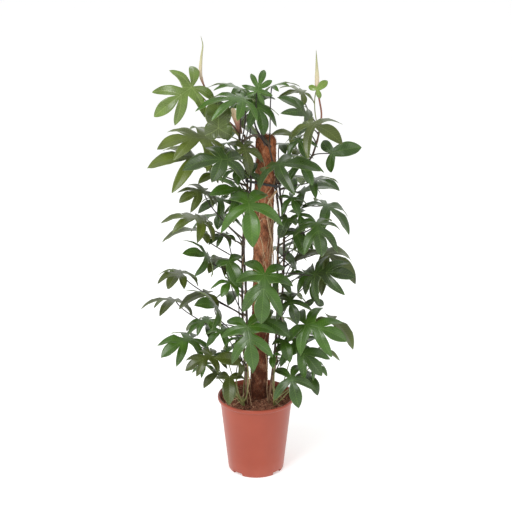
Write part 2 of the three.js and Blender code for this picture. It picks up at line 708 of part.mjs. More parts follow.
// Leaves as they stand on the plant, seen from the front: from the crown down its left side, then the
// middle, then down the right side, then the back. Each row is the node, the stem that carries it and the
// height where it leaves it, the hub where its blade starts, the direction its tip points to (0 is right,
// -90 the front), how far it dips, how it is rolled about its middle rib, its length and its form.
// Where the stem leans or swells, the petiole is cut to it.
const LEAVES = [
  ['leaf_01', 'lf', 1072, [-178, -92, 1216], -146, 26, 58, 132, 'G', { young: true }],
  ['leaf_02', 'lf', 1036, [-36, -132, 1190], -170, -10, 22, 134, 'D'],
  ['leaf_03', 'rf', 1050, [-5, -17, 1177], -60, 42, -8, 112, 'A'],
  ['leaf_04', 'lf', 1052, [-104, -116, 1107], 95, -80, 0, 86, 'E', { young: true, cut: true }],
  ['leaf_05', 'lb', 1040, [-25, 60, 1115], 115, 20, 15, 70, 'C'],
  ['leaf_06', 'lf', 960, [-140, 0, 1058], -158, -10, 32, 150, 'A', { cut: true }],
  ['side_shoot_1', 'lb', 900, [-170, -20, 1000], -160, -15, 25, 145, 'B', { cut: true }],
  ['side_shoot_1', 'lb', 900, [-120, 45, 940], -145, 0, 25, 60, 'C', { cut: true }],
  ['leaf_07', 'lf', 916, [-78, -182, 1033], -164, -8, 36, 126, 'F'],
  ['leaf_08', 'lf', 760, [-150, -40, 910], -125, -10, 30, 95, 'A', { cut: true }],
  ['leaf_09', 'lf', 870, [-45, -78, 921], -138, -20, 35, 96, 'B'],
  ['leaf_10', 'lf', 740, [-160, -20, 820], -170, -20, 10, 120, 'A'],
  ['leaf_11', 'lb', 670, [-175, 20, 775], -170, -10, -5, 110, 'C', { cut: true }],
  ['side_shoot_2', 'lf', 640, [-140, -60, 715], -125, -35, 50, 90, 'B'],
  ['side_shoot_2', 'lf', 640, [-80, -55, 699], -65, 25, -20, 88, 'C'],
  ['leaf_12', 'lb', 560, [-105, 40, 680], -110, -10, 10, 90, 'A'],
  ['side_shoot_3', 'lb', 500, [-225, -10, 655], -105, -10, 10, 100, 'A'],
  ['side_shoot_3', 'lb', 500, [-150, 0, 580], -160, 0, 10, 95, 'C'],
  ['leaf_13', 'lb', 400, [-250, 65, 535], -170, -15, -5, 110, 'B'],
  ['leaf_14', 'lf', 440, [-115, -100, 575], -105, -35, 55, 105, 'B'],
  ['leaf_15', 'lb', 320, [-200, 12, 428], -135, -5, 20, 115, 'A', { cut: true }],
  ['shoot_base_left', 'sl', 250, [-135, -75, 407], -145, 0, 25, 90, 'A'],
  ['shoot_base_left', 'sl', 250, [-50, -70, 385], -130, -35, 60, 85, 'C'],
  ['shoot_base_left', 'sl', 246, [-120, -50, 340], -140, 15, 15, 60, 'C'],
  ['shoot_base_left', 'sl', 246, [-80, -95, 345], -90, 20, 0, 85, 'C'],
  ['leaf_16', 'lf', 1000, [-33, -80, 1047], -72, 36, -5, 82, 'B', { cut: true }],
  ['leaf_17', 'rf', 946, [50, -130, 1004], -20, -20, -24, 130, 'B', { cut: true }],
  ['leaf_18', 'lf', 840, [-20, -180, 912], -85, 30, -5, 130, 'B'],
  ['leaf_19', 'rf', 620, [25, -140, 685], -95, 40, 5, 140, 'A'],
  ['leaf_20', 'lf', 450, [-25, -140, 525], -80, 40, -10, 125, 'A'],
  ['leaf_21', 'rf', 480, [30, -70, 520], -35, 10, -35, 85, 'C'],
  ['leaf_22', 'rb', 1085, [135, 50, 1181], 145, -30, 0, 80, 'B', { cut: true }],
  ['leaf_23', 'rb', 1070, [150, -55, 1121], -155, -55, 45, 110, 'A', { cut: true }],
  ['leaf_24', 'rb', 1040, [148, -150, 1125], -45, 0, -25, 110, 'B', { cut: true }],
  ['side_shoot_4', 'rb', 985, [105, 40, 1060], 165, -15, 20, 75, 'C', { cut: true }],
  ['side_shoot_4', 'rb', 985, [135, 10, 1020], -115, -15, 10, 60, 'C', { cut: true }],
  ['leaf_25', 'rb', 1006, [220, -10, 1015], -15, -20, -68, 88, 'C', { cut: true }],
  ['side_shoot_5', 'rb', 900, [165, -20, 940], -35, -10, -10, 90, 'B'],
  ['side_shoot_5', 'rb', 900, [140, 40, 890], -10, -30, -15, 100, 'C'],
  ['leaf_26', 'rb', 845, [205, 30, 850], -30, 20, -5, 115, 'B', { cut: true }],
  ['leaf_27', 'rf', 740, [173, -110, 832], -85, 15, -5, 115, 'A'],
  ['side_shoot_6', 'rf', 700, [130, 0, 740], -60, -20, -20, 60, 'C'],
  ['side_shoot_6', 'rf', 700, [115, 0, 660], -105, -65, 105, 65, 'C'],
  ['leaf_28', 'rb', 660, [200, 30, 705], -30, 15, -15, 140, 'B'],
  ['leaf_29', 'rf', 650, [175, -70, 665], -35, -20, -45, 120, 'A'],
  ['side_shoot_7', 'rb', 535, [155, 40, 620], 145, 5, 10, 70, 'C'],
  ['side_shoot_7', 'rb', 535, [180, 50, 540], 90, -65, 0, 60, 'C'],
  ['leaf_30', 'rf', 460, [150, -80, 510], -30, 0, -40, 130, 'A'],
  ['side_shoot_8', 'rb', 400, [230, 30, 485], -30, 20, 0, 115, 'C', { cut: true }],
  ['side_shoot_8', 'rb', 400, [195, 60, 370], -15, -5, 0, 75, 'C', { cut: true }],
  ['leaf_31', 'rf', 360, [119, -50, 428], -45, 20, -30, 120, 'A', { cut: true }],
  ['shoot_base_right', 'sr', 250, [104, -117, 359], -75, 35, -15, 96, 'B'],
  ['shoot_base_right', 'sr', 250, [155, -30, 325], -60, 10, -5, 75, 'C'],
  ['side_shoot_9', 'lb', 980, [-60, 170, 1060], 110, 0, 0, 120, 'B'],
  ['side_shoot_9', 'lb', 980, [-10, 110, 1130], 75, -15, 0, 100, 'B'],
  ['side_shoot_10', 'rb', 840, [100, 190, 900], 65, 0, 0, 125, 'B'],
  ['side_shoot_10', 'rb', 840, [30, 150, 950], 100, 5, 0, 110, 'B'],
  ['side_shoot_11', 'lb', 720, [-110, 170, 780], 125, 0, 0, 120, 'B'],
  ['side_shoot_11', 'lb', 720, [-20, 180, 820], 95, 10, 0, 110, 'B'],
  ['side_shoot_12', 'rb', 600, [70, 210, 660], 80, 5, 0, 125, 'B'],
  ['side_shoot_12', 'rb', 600, [150, 150, 700], 45, 0, 0, 115, 'B'],
  ['side_shoot_13', 'lb', 420, [-60, 190, 520], 105, 10, 0, 120, 'B'],
  ['side_shoot_13', 'lb', 420, [-150, 130, 430], 140, 0, 0, 110, 'B'],
  ['side_shoot_14', 'rb', 380, [60, 170, 440], 80, 10, 0, 115, 'B'],
  ['side_shoot_14', 'rb', 380, [150, 140, 400], 40, 5, 0, 105, 'B'],
];

// Short stalks in the soil that carry the low leafy shoots
const STALKS = {
  sl: { foot: [-34, -58, STEM_FOOT + 12], head: [-40, -62, 262], radius: 3.6 },
  sr: { foot: [52, -52, STEM_FOOT + 12], head: [58, -58, 262], radius: 3.6 },
};

function stalkAt(key, z) {
  const { foot, head } = STALKS[key];
  const low = new THREE.Vector3(...foot);
  const high = new THREE.Vector3(...head);
  return low.lerp(high, (z - foot[2]) / (head[2] - foot[2]));
}

function stalkSolid(key, margin) {
  const { foot, head, radius } = STALKS[key];
  const line = new THREE.LineCurve3(new THREE.Vector3(...foot), new THREE.Vector3(...head));
  return toSolid(sweep(line, 1, 6, (along) => radius * (1 - 0.25 * along) + margin));
}

function leafFrom(row, order) {
  const [name, carrier, z, hub, aim, dip, roll, length, form, more = {}] = row;
  const onStalk = carrier in STALKS;
  const leaf = {
    seed: 1000 + 37 * order, carrier, hub, aim, dip, roll, length, form,
    droop: 0.75, fold: 16 * TO_RADIANS, curl: 0.7, thick: 0.75 + length / 400, ...more,
  };
  leaf.start = onStalk ? stalkAt(carrier, z) : stemAt(carrier, z);
  leaf.outward = new THREE.Vector3();
  for (const [other, , , otherHub] of LEAVES) {
    if (other === name && (!onStalk || otherHub === hub)) {
      leaf.outward.add(new THREE.Vector3(...otherHub).sub(leaf.start).setZ(0).normalize());
    }
  }
  leaf.outward.normalize();
  if (leaf.cut) {
    leaf.clear = 1;
  } else {
    leaf.clear = onStalk ? 0 : stemReach(carrier, z, leaf.outward) + GAP;
  }
  return leaf;
}

// Crown pieces

/** A rolled new leaf on its stalk. */
function spearGeometry(points, stalkShare, stalk, roll) {
  const radius = (along) => {
    if (along < stalkShare) {
      return stalk;
    }
    const x = (along - stalkShare) / (1 - stalkShare);
    return stalk + (roll - stalk) * Math.min(1, x * 6) - (roll - 0.7) * Math.max(0, x - 0.35) / 0.65;
  };
  return sweep(curveThrough(points), 13, 5, radius);
}

const SPEARS = {
  spear_left: {
    carrier: 'lf',
    points: [[-51, -35, 1079], [-62, -35, 1095], [-85, -38, 1118], [-114, -40, 1142], [-136, -38, 1190],
      [-155, -36, 1240], [-153, -36, 1290], [-148, -36, 1325], [-153, -36, 1350]],
    stalkShare: 0.55, stalk: 2.6, roll: 4.8,
  },
  spear_right: {
    carrier: 'rb',
    points: [[185, -14, 1094], [187, -14, 1130], [181, -14, 1165], [174, -14, 1200], [172, -13, 1245],
      [169, -12, 1309]],
    stalkShare: 0.45, stalk: 2.6, roll: 6.2,
  },
};

/** The dry sheath: a thin curved blade that wraps half round the top of its stem. */
function sheathGeometry() {
  const steps = 5;
  const across = 4;
  const vertices = [];
  const faces = [];
  const foot = new THREE.Vector3(-44, -41.2, 1076);
  const lean = new THREE.Vector3(-20, -40, 82);
  for (const thickness of [0, 1]) {
    for (let i = 0; i <= steps; i += 1) {
      const s = i / steps;
      const half = 5.5 + 9 * s;
      for (let j = 0; j <= across; j += 1) {
        const x = (j / across) * 2 - 1;
        const width = half * (s === 1 ? 0.55 : 1);
        const at = foot.clone().addScaledVector(lean, s);
        vertices.push([at.x + x * width, at.y - thickness + 7 * x * x, at.z + (s === 1 ? -9 * x * x : 0)]);
      }
    }
  }
  const row = across + 1;
  const layer = row * (steps + 1);
  for (let i = 0; i < steps; i += 1) {
    for (let j = 0; j < across; j += 1) {
      const a = i * row + j;
      const back = [[a, a + row, a + row + 1], [a, a + row + 1, a + 1]];
      back.forEach(([p, q, r]) => faces.push([p, q, r], [layer + p, layer + r, layer + q]));
    }
  }
  const border = [];
  for (let j = 0; j < across; j += 1) {
    border.push([j, j + 1], [steps * row + j + 1, steps * row + j]);
  }
  for (let i = 0; i < steps; i += 1) {
    border.push([i * row + across, (i + 1) * row + across], [(i + 1) * row, i * row]);
  }
  border.forEach(([p, q]) => faces.push([p, q, layer + q], [p, layer + q, layer + p]));
  return closedGeometry(vertices, faces);
}

// The thickest aerial root grows out of the right front stem and lies on the coir
const ROOT = {
  carrier: 'rf',
  points: [[60, -23, 906], [50, -27, 893], [37, -31, 875], [32, -33, 848], [38, -29, 800], [47, -21, 752],
    [51, -12, 705], [51, -9, 670]],
  radius: 3.2,
};

function rootSolid() {
  const root = toSolid(sweep(curveThrough(ROOT.points), 12, 5, (along) => ROOT.radius * (1 - 0.4 * along)));
  return cutToStem(root, ROOT.carrier).subtract(coirBody(GAP));
}

/** The band round the pole and its stems. */
function tieGeometry() {
  const round = [];
  const ring = (x, y, radius) => {
    for (let turn = 0; turn < 360; turn += 20) {
      const at = polar(radius + TIE.clear, turn);
      round.push([at.x + x, at.y + y]);
    }
  };
  const pole = poleCentre(TIE.z);
  ring(pole.x, pole.y, poleRadius(TIE.z));
  for (const key of Object.keys(STEMS)) {
    for (const rise of [-2, -1, 0, 1, 2]) {
      const at = stemAt(key, TIE.z + rise * TIE.height);
      ring(at.x, at.y, 1.1 * STEM_RADIUS);
    }
  }
  const inner = hull(round);
  const centre = new THREE.Vector2(pole.x, pole.y);
  const shape = new THREE.Shape(grown(inner, centre, TIE.thickness));
  shape.holes.push(new THREE.Path(grown(inner, centre, 0)));
  const band = new THREE.ExtrudeGeometry(shape, { depth: TIE.height, bevelEnabled: false, steps: 1 });
  band.translate(-pole.x, 0, -TIE.height / 2);
  band.applyMatrix4(new THREE.Matrix4().makeShear(0, -TIE.slope, 0, 0, 0, 0));
  return band.translate(pole.x, 0, TIE.z);
}

/** The outline round a set of points. */
function hull(points) {
  const sorted = [...points].sort((p, q) => p[0] - q[0] || p[1] - q[1]);
  const cross = (o, p, q) => (p[0] - o[0]) * (q[1] - o[1]) - (p[1] - o[1]) * (q[0] - o[0]);
  const half = (list) => {
    const chain = [];
    for (const point of list) {
      while (chain.length > 1 && cross(chain[chain.length - 2], chain[chain.length - 1], point) <= 0) {
        chain.pop();
      }
      chain.push(point);
    }
    return chain.slice(0, -1);
  };
  return [...half(sorted), ...half(sorted.reverse())];
}

function grown(outline, centre, more) {
  return outline.map(([x, y]) => {
    const out = new THREE.Vector2(x, y).sub(centre);
    return out.setLength(out.length() + more).add(centre);
  });
}

// The plant, put together

const group = new THREE.Group();

function addPiece(name, geometry, finish) {
  const mesh = new THREE.Mesh(geometry, finish);
  mesh.name = name;
  group.add(mesh);
}

const plastic = material(0xb0573f, 0.45);
const earth = material(0x3a2018, 1);
const coir = material(0x8a4a28, 1);
const wood = material(0xb08a5c, 0.8);
const bark = material(PETIOLE_BROWN, 0.6);
const leafGreen = material(LEAF_GREEN, 0.4);
const youngGreen = material(YOUNG_GREEN, 0.4);
const rolledLeaf = material(0xd9c9a0, 0.5);
const driedSheath = material(0xb8926c, 0.8);
const rootTan = material(0xb59a76, 0.8);
const strap = material(0x15130f, 0.5);

const standing = [poleHole(), ...Object.keys(STEMS).map(stemHole), stalkSolid('sl', 1), stalkSolid('sr', 1)];
addPiece('pot', toGeometry(potSolid()), plastic);
addPiece('soil', toGeometry(soilSolid(standing)), earth);
addPiece('pole_stake', toGeometry(stakeSolid(0)), wood);
addPiece('pole_coir', toGeometry(coirSolid()), coir);
addPiece('tie', tieGeometry(), strap);
for (const key of Object.keys(STEMS)) {
  addPiece(STEM_NAMES[key], stemGeometry(key, 0), bark);
}
for (const [name, spear] of Object.entries(SPEARS)) {
  const rolled = spearGeometry(spear.points, spear.stalkShare, spear.stalk, spear.roll);
  addPiece(name, toGeometry(cutToStem(toSolid(rolled), spear.carrier)), rolledLeaf);
}
addPiece('crown_sheath', toGeometry(cutToStem(toSolid(sheathGeometry()), 'lf')), driedSheath);
addPiece('aerial_root', toGeometry(rootSolid()), rootTan);

const grownNodes = new Map();
LEAVES.forEach((row, order) => {
  const [name, carrier] = row;
  const leaf = leafFrom(row, order);
  const solid = leafSolid(leaf);
  if (!grownNodes.has(name)) {
    const first = carrier in STALKS ? solid.add(stalkSolid(carrier, 0)) : solid;
    grownNodes.set(name, { solid: first, young: leaf.young });
  } else {
    const node = grownNodes.get(name);
    node.solid = node.solid.add(solid);
  }
});
for (const [name, { solid, young }] of grownNodes) {
  addPiece(name, toGeometry(solid), young ? youngGreen : leafGreen);
}

export default group;
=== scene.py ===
# A climbing oakleaf philodendron on a coir pole in a nursery pot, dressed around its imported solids.
# Metres, +Z up. The origin is the middle of the pot's flat underside, and -Y is the front.
import math

import bpy
import numpy as np
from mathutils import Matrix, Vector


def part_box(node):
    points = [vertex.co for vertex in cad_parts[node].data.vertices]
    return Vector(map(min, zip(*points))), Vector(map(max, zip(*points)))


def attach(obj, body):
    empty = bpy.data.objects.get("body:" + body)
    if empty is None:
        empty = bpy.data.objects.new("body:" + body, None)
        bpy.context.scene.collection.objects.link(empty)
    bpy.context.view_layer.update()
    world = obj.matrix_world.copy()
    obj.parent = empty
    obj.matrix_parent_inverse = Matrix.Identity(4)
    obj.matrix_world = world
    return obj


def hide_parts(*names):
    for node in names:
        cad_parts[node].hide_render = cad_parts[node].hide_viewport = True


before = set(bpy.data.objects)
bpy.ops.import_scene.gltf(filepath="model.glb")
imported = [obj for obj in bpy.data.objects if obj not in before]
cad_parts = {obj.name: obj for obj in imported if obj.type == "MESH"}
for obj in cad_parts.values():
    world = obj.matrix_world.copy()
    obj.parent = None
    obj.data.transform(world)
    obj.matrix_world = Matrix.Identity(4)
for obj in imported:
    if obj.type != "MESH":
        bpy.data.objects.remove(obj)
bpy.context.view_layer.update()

MM = 0.001

# Pot, soil and pole, with the main sizes of their solids
POT_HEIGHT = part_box("pot")[1].z
RIM_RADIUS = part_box("pot")[1].x
FOOT_RADIUS = 87.5 * MM
WALL = 2.2 * MM
FLOOR = 3 * MM
LIP_HEIGHT = 12 * MM
LIP_STEP = 8 * MM
# The lip's outline: millimetres out from the rim's radius and up from the lip's foot
LIP = [(-2.4, .3), (-1, 1.4), (-.3, 3.4), (0, 6), (-.2, 8.4), (-.9, 10.6), (-2, 11.7), (-3.2, 12),
       (-4.8, 11.7), (-6, 10.8), (-7, 8.6), (-8, 5)]
POT_SIDES = 160
SHARP_OVER = math.radians(38)
NOTCH_FROM = 60 * MM
NOTCH_HEIGHT = 9 * MM
NOTCH_HALF = math.radians(11.5)
NOTCH_MARGIN = math.radians(2)
NOTCH_ROOF = 2.2 * MM
NOTCH_TURNED = (-41, 49, 139, 229)
DRAIN_INSET = 12 * MM
DRAIN_RADIUS = 4 * MM
SOIL_LEVEL = 229 * MM
SOIL_MOUND = 9 * MM
SOIL_LUMPS = 1.3 * MM
SOIL_ROUGH = 0.9 * MM
SOIL_FOOT = 10 * MM
SOIL_GAP = 0.3 * MM
# Crumbs on the soil, the share of them that is large, and how many times larger those are
CRUMBS = 2600
LARGE_CRUMBS = 0.06
LARGE_CRUMB = 2.2
POLE_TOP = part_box("pole_coir")[1].z
POLE_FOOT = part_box("pole_coir")[0].z
POLE_RADIUS = 25.5 * MM
POLE_SWELL = 1 / 190
POLE_LEAN = 0.027
POLE_FOOT_X = 1 * MM
COIR_DOME = 20 * MM
DOME_NARROWS = 0.78
COIR_ROUGH = 0.5 * MM
# Hairs of the coir, and the share of them that stands at its top
FIBRES = 9000
TOP_FIBRES = 0.09
FIBRE_RADIUS = 0.2 * MM
NET_STRANDS = 7
NET_RADIUS = 0.45 * MM
# How far a strand goes round the pole for each metre up, in radians
NET_SLOPE = 22

# Stems and roots
STEM_RADIUS = 3.6 * MM
STEM_TAPER = 0.2
INTERNODE = 62 * MM
RING_RISE = 0.2
RING_HALF = 3.5 * MM
ROOT_TAPER = 0.45
ROOT_UNEVEN = 0.06
ROOTS_FROM = .33
COIR_ROOTS_TO = 1.03
STEM_ROOTS_TO = .95
STEM_ROOTS_EVERY = .035
CHANCE_ROOTS = 16
# A rolled leaf: where it starts to narrow, its radius at the tip, and the step where its edge lies
ROLL_NARROWS = 0.35
ROLL_TIP = 0.5 * MM
ROLL_STEP = 0.22
SHEATH_THICKNESS = 0.5 * MM

# Petioles: radius for a blade 0.1 m long, how much foot and knee are thicker, and how the path departs from
# its stem and arrives at the hub, each with the share of the way and the length that it holds for at most
PETIOLE_POINTS = 26
PETIOLE_STEPS = 60
PETIOLE_RADIUS = 1.875 * MM
PETIOLE_LEAF = 0.4
PETIOLE_FOOT = 0.9
PETIOLE_KNEE = 0.28
PETIOLE_TAPER = 0.12
DEPARTS_OUT = 0.75
DEPARTS_UP = 0.65
DEPARTS_SHARE = 0.3
DEPARTS_MOST = 60 * MM
ARRIVES_ALONG = 0.55
ARRIVES_FROM_BELOW = 0.83
ARRIVES_SHARE = 0.28
ARRIVES_MOST = 55 * MM
HUB_SINKS = 0.4 * MM

# Blades: how they droop, fold, curl and wave
BLADE_THICKNESS = 0.5 * MM
DROOP = 0.75
FOLD = math.radians(16)
FOLD_QUICKENS = 2.5
FOLD_ROUNDS = 0.3
CURL = 0.7
MIDDLE_CURL = 0.6
CURLED_SHARE = 0.75
WAVE_HEIGHT = 0.9 * MM
LONG_WAVE = 6.5 * MM
SHORT_WAVE = 3.9 * MM
SHORT_WAVE_SHARE = 0.6
RIB_BENDS = 0.16
RIB_HALF = 0.9 * MM
RIDGE = 0.9 * MM
GROOVE = 0.25 * MM
VEIN_SPACING = 7.5 * MM
VEIN_SLANT = 0.8

# How far chance takes a lobe either way: degrees for angle and twist, shares for size and curl
ANGLE_VARIES = 5
SIZE_VARIES = 0.1
CURL_VARIES = 0.5
TWIST_VARIES = 14
MIDDLE_TWIST_VARIES = 6

# A lobe's outline: powers by which it widens from its foot and narrows to its tip, and their largest product
LOBE_WIDENS = 1.15
LOBE_NARROWS = 0.8
LOBE_WIDEST = 0.2678

# A lobe's mesh: rows before and past its cuts, steps across, how closely they crowd, and the least and most
# of its length that lies before its cuts
BASE_ROWS = 3
SIDE_ROWS = 12
MIDDLE_ROWS = 15
CROSS = 5
ROWS_CROWD = 1.15
CROSS_CROWDS = 1.3
LEAST_BASE = 0.12
MOST_BASE = 0.4

# Where the finishes of a leafy piece stand in its list
UPPER = 0
LOWER = 1
STALK = 2

# Accuracy of curves and of joined points, and the range that noise mostly keeps to
CURVE_STEPS = 40
SHORTEST_STEP = 1e-4
WELD_WITHIN = 0.02 * MM
NOISE_LOW = 0.3
NOISE_HIGH = 0.7

# Paths of the climbing stems from the soil up, in millimetres, as in all tables of the plant below
STEMS = {
    "lf": [(-28, -38, 190), (-30, -40, 260), (-26, -40, 400), (-30, -38, 600), (-36, -34, 750),
           (-26, -28, 900), (-26, -28, 950), (-38, -34, 1010), (-52, -36, 1085)],
    "lb": [(-24, 24, 190), (-30, 26, 260), (-38, 24, 400), (-42, 20, 600), (-36, 20, 780), (-16, 16, 900),
           (-16, 16, 950), (-26, 24, 1010), (-34, 34, 1060)],
    "rf": [(34, -44, 190), (48, -42, 320), (62, -38, 480), (64, -36, 700), (68, -32, 820), (60, -22, 900),
           (58, -22, 950), (46, -40, 1000), (34, -42, 1055)],
    "rb": [(40, 24, 190), (52, 22, 280), (72, 14, 440), (84, 6, 700), (80, 4, 820), (70, 6, 900),
           (69, 6, 955), (92, -2, 980), (152, -10, 992), (172, -14, 1035), (186, -14, 1100)],
}
STEM_NODES = {
    "lf": "stem_left_front", "lb": "stem_left_back", "rf": "stem_right_front", "rb": "stem_right_back",
}

# The tie, in metres, and how much it slopes
TIE_POINTS = 140
TIE = {"z": .926, "height": .008, "thickness": .0012, "clear": .0008, "slope": .2}
# The path of the thickest aerial root
ROOT_PATH = [(60, -23, 906), (50, -27, 893), (37, -31, 875), (32, -33, 848), (38, -29, 800), (47, -21, 752),
             (51, -12, 705), (51, -9, 670)]

# Camera, floor and light, in metres, degrees and watts
CAMERA_AT = (0, -3, 1.65)
CAMERA_DOWN = 17.6
CAMERA_LENS = 73.9
CAMERA_SENSOR = 36
CAMERA_SEES = 200
FLOOR_HALF = 60
WORLD_LIGHT = 0.72
HORIZON = 0.12
HORIZON_LIGHT = 1.0
FLOOR_GLOW = 0.3
# Soft lights: name, place, what it shines on, size and power
LIGHTS = [
    ("key_light", (-1.6, -2.2, 3.2), (0, 0, 0.7), 1.8, 84),
    ("fill_light", (2.4, -1.8, 1.8), (0, 0, 0.6), 1.6, 12),
    ("back_light", (0.4, 2.6, 2.6), (0, 0, 0.8), 1.6, 10),
]

# Short stalks in the soil that carry the low leafy shoots
STALKS = {
    "sl": {"foot": (-34, -58, 202), "head": (-40, -62, 262)},
    "sr": {"foot": (52, -52, 202), "head": (58, -58, 262)},
}

# Outlines of blades, as shares of their length: half width of the middle lobe, how far out the cuts beside it
# lie, and the lobes on one side, from the back of the blade to its tip. Each lobe has its angle from the
# middle rib, its length, its half width, how far up the middle rib it starts, and how far out the cut before
# it lies
FORMS = {
    "A": (.18, .11, [(142, .66, .128, 0, .05), (94, .68, .104, 0, .11), (56, .66, .108, .3, .12)]),
    "B": (.2, .13, [(148, .68, .14, 0, .05), (74, .86, .115, .13, .13)]),
    "C": (.24, .17, [(122, .62, .17, 0, .06)]),
    "D": (.13, .12, [(140, .55, .08, 0, .05), (90, .62, .08, 0, .1), (48, .62, .09, .16, .12)]),
    "E": (.4, .4, [(125, .5, .24, 0, .2)]),
    "F": (.21, .15, [(150, .55, .15, 0, .06), (78, .6, .14, .13, .16)]),
    "G": (.15, .1, [(142, .66, .11, 0, .05), (96, .7, .086, 0, .1), (58, .68, .088, .28, .11)]),
}

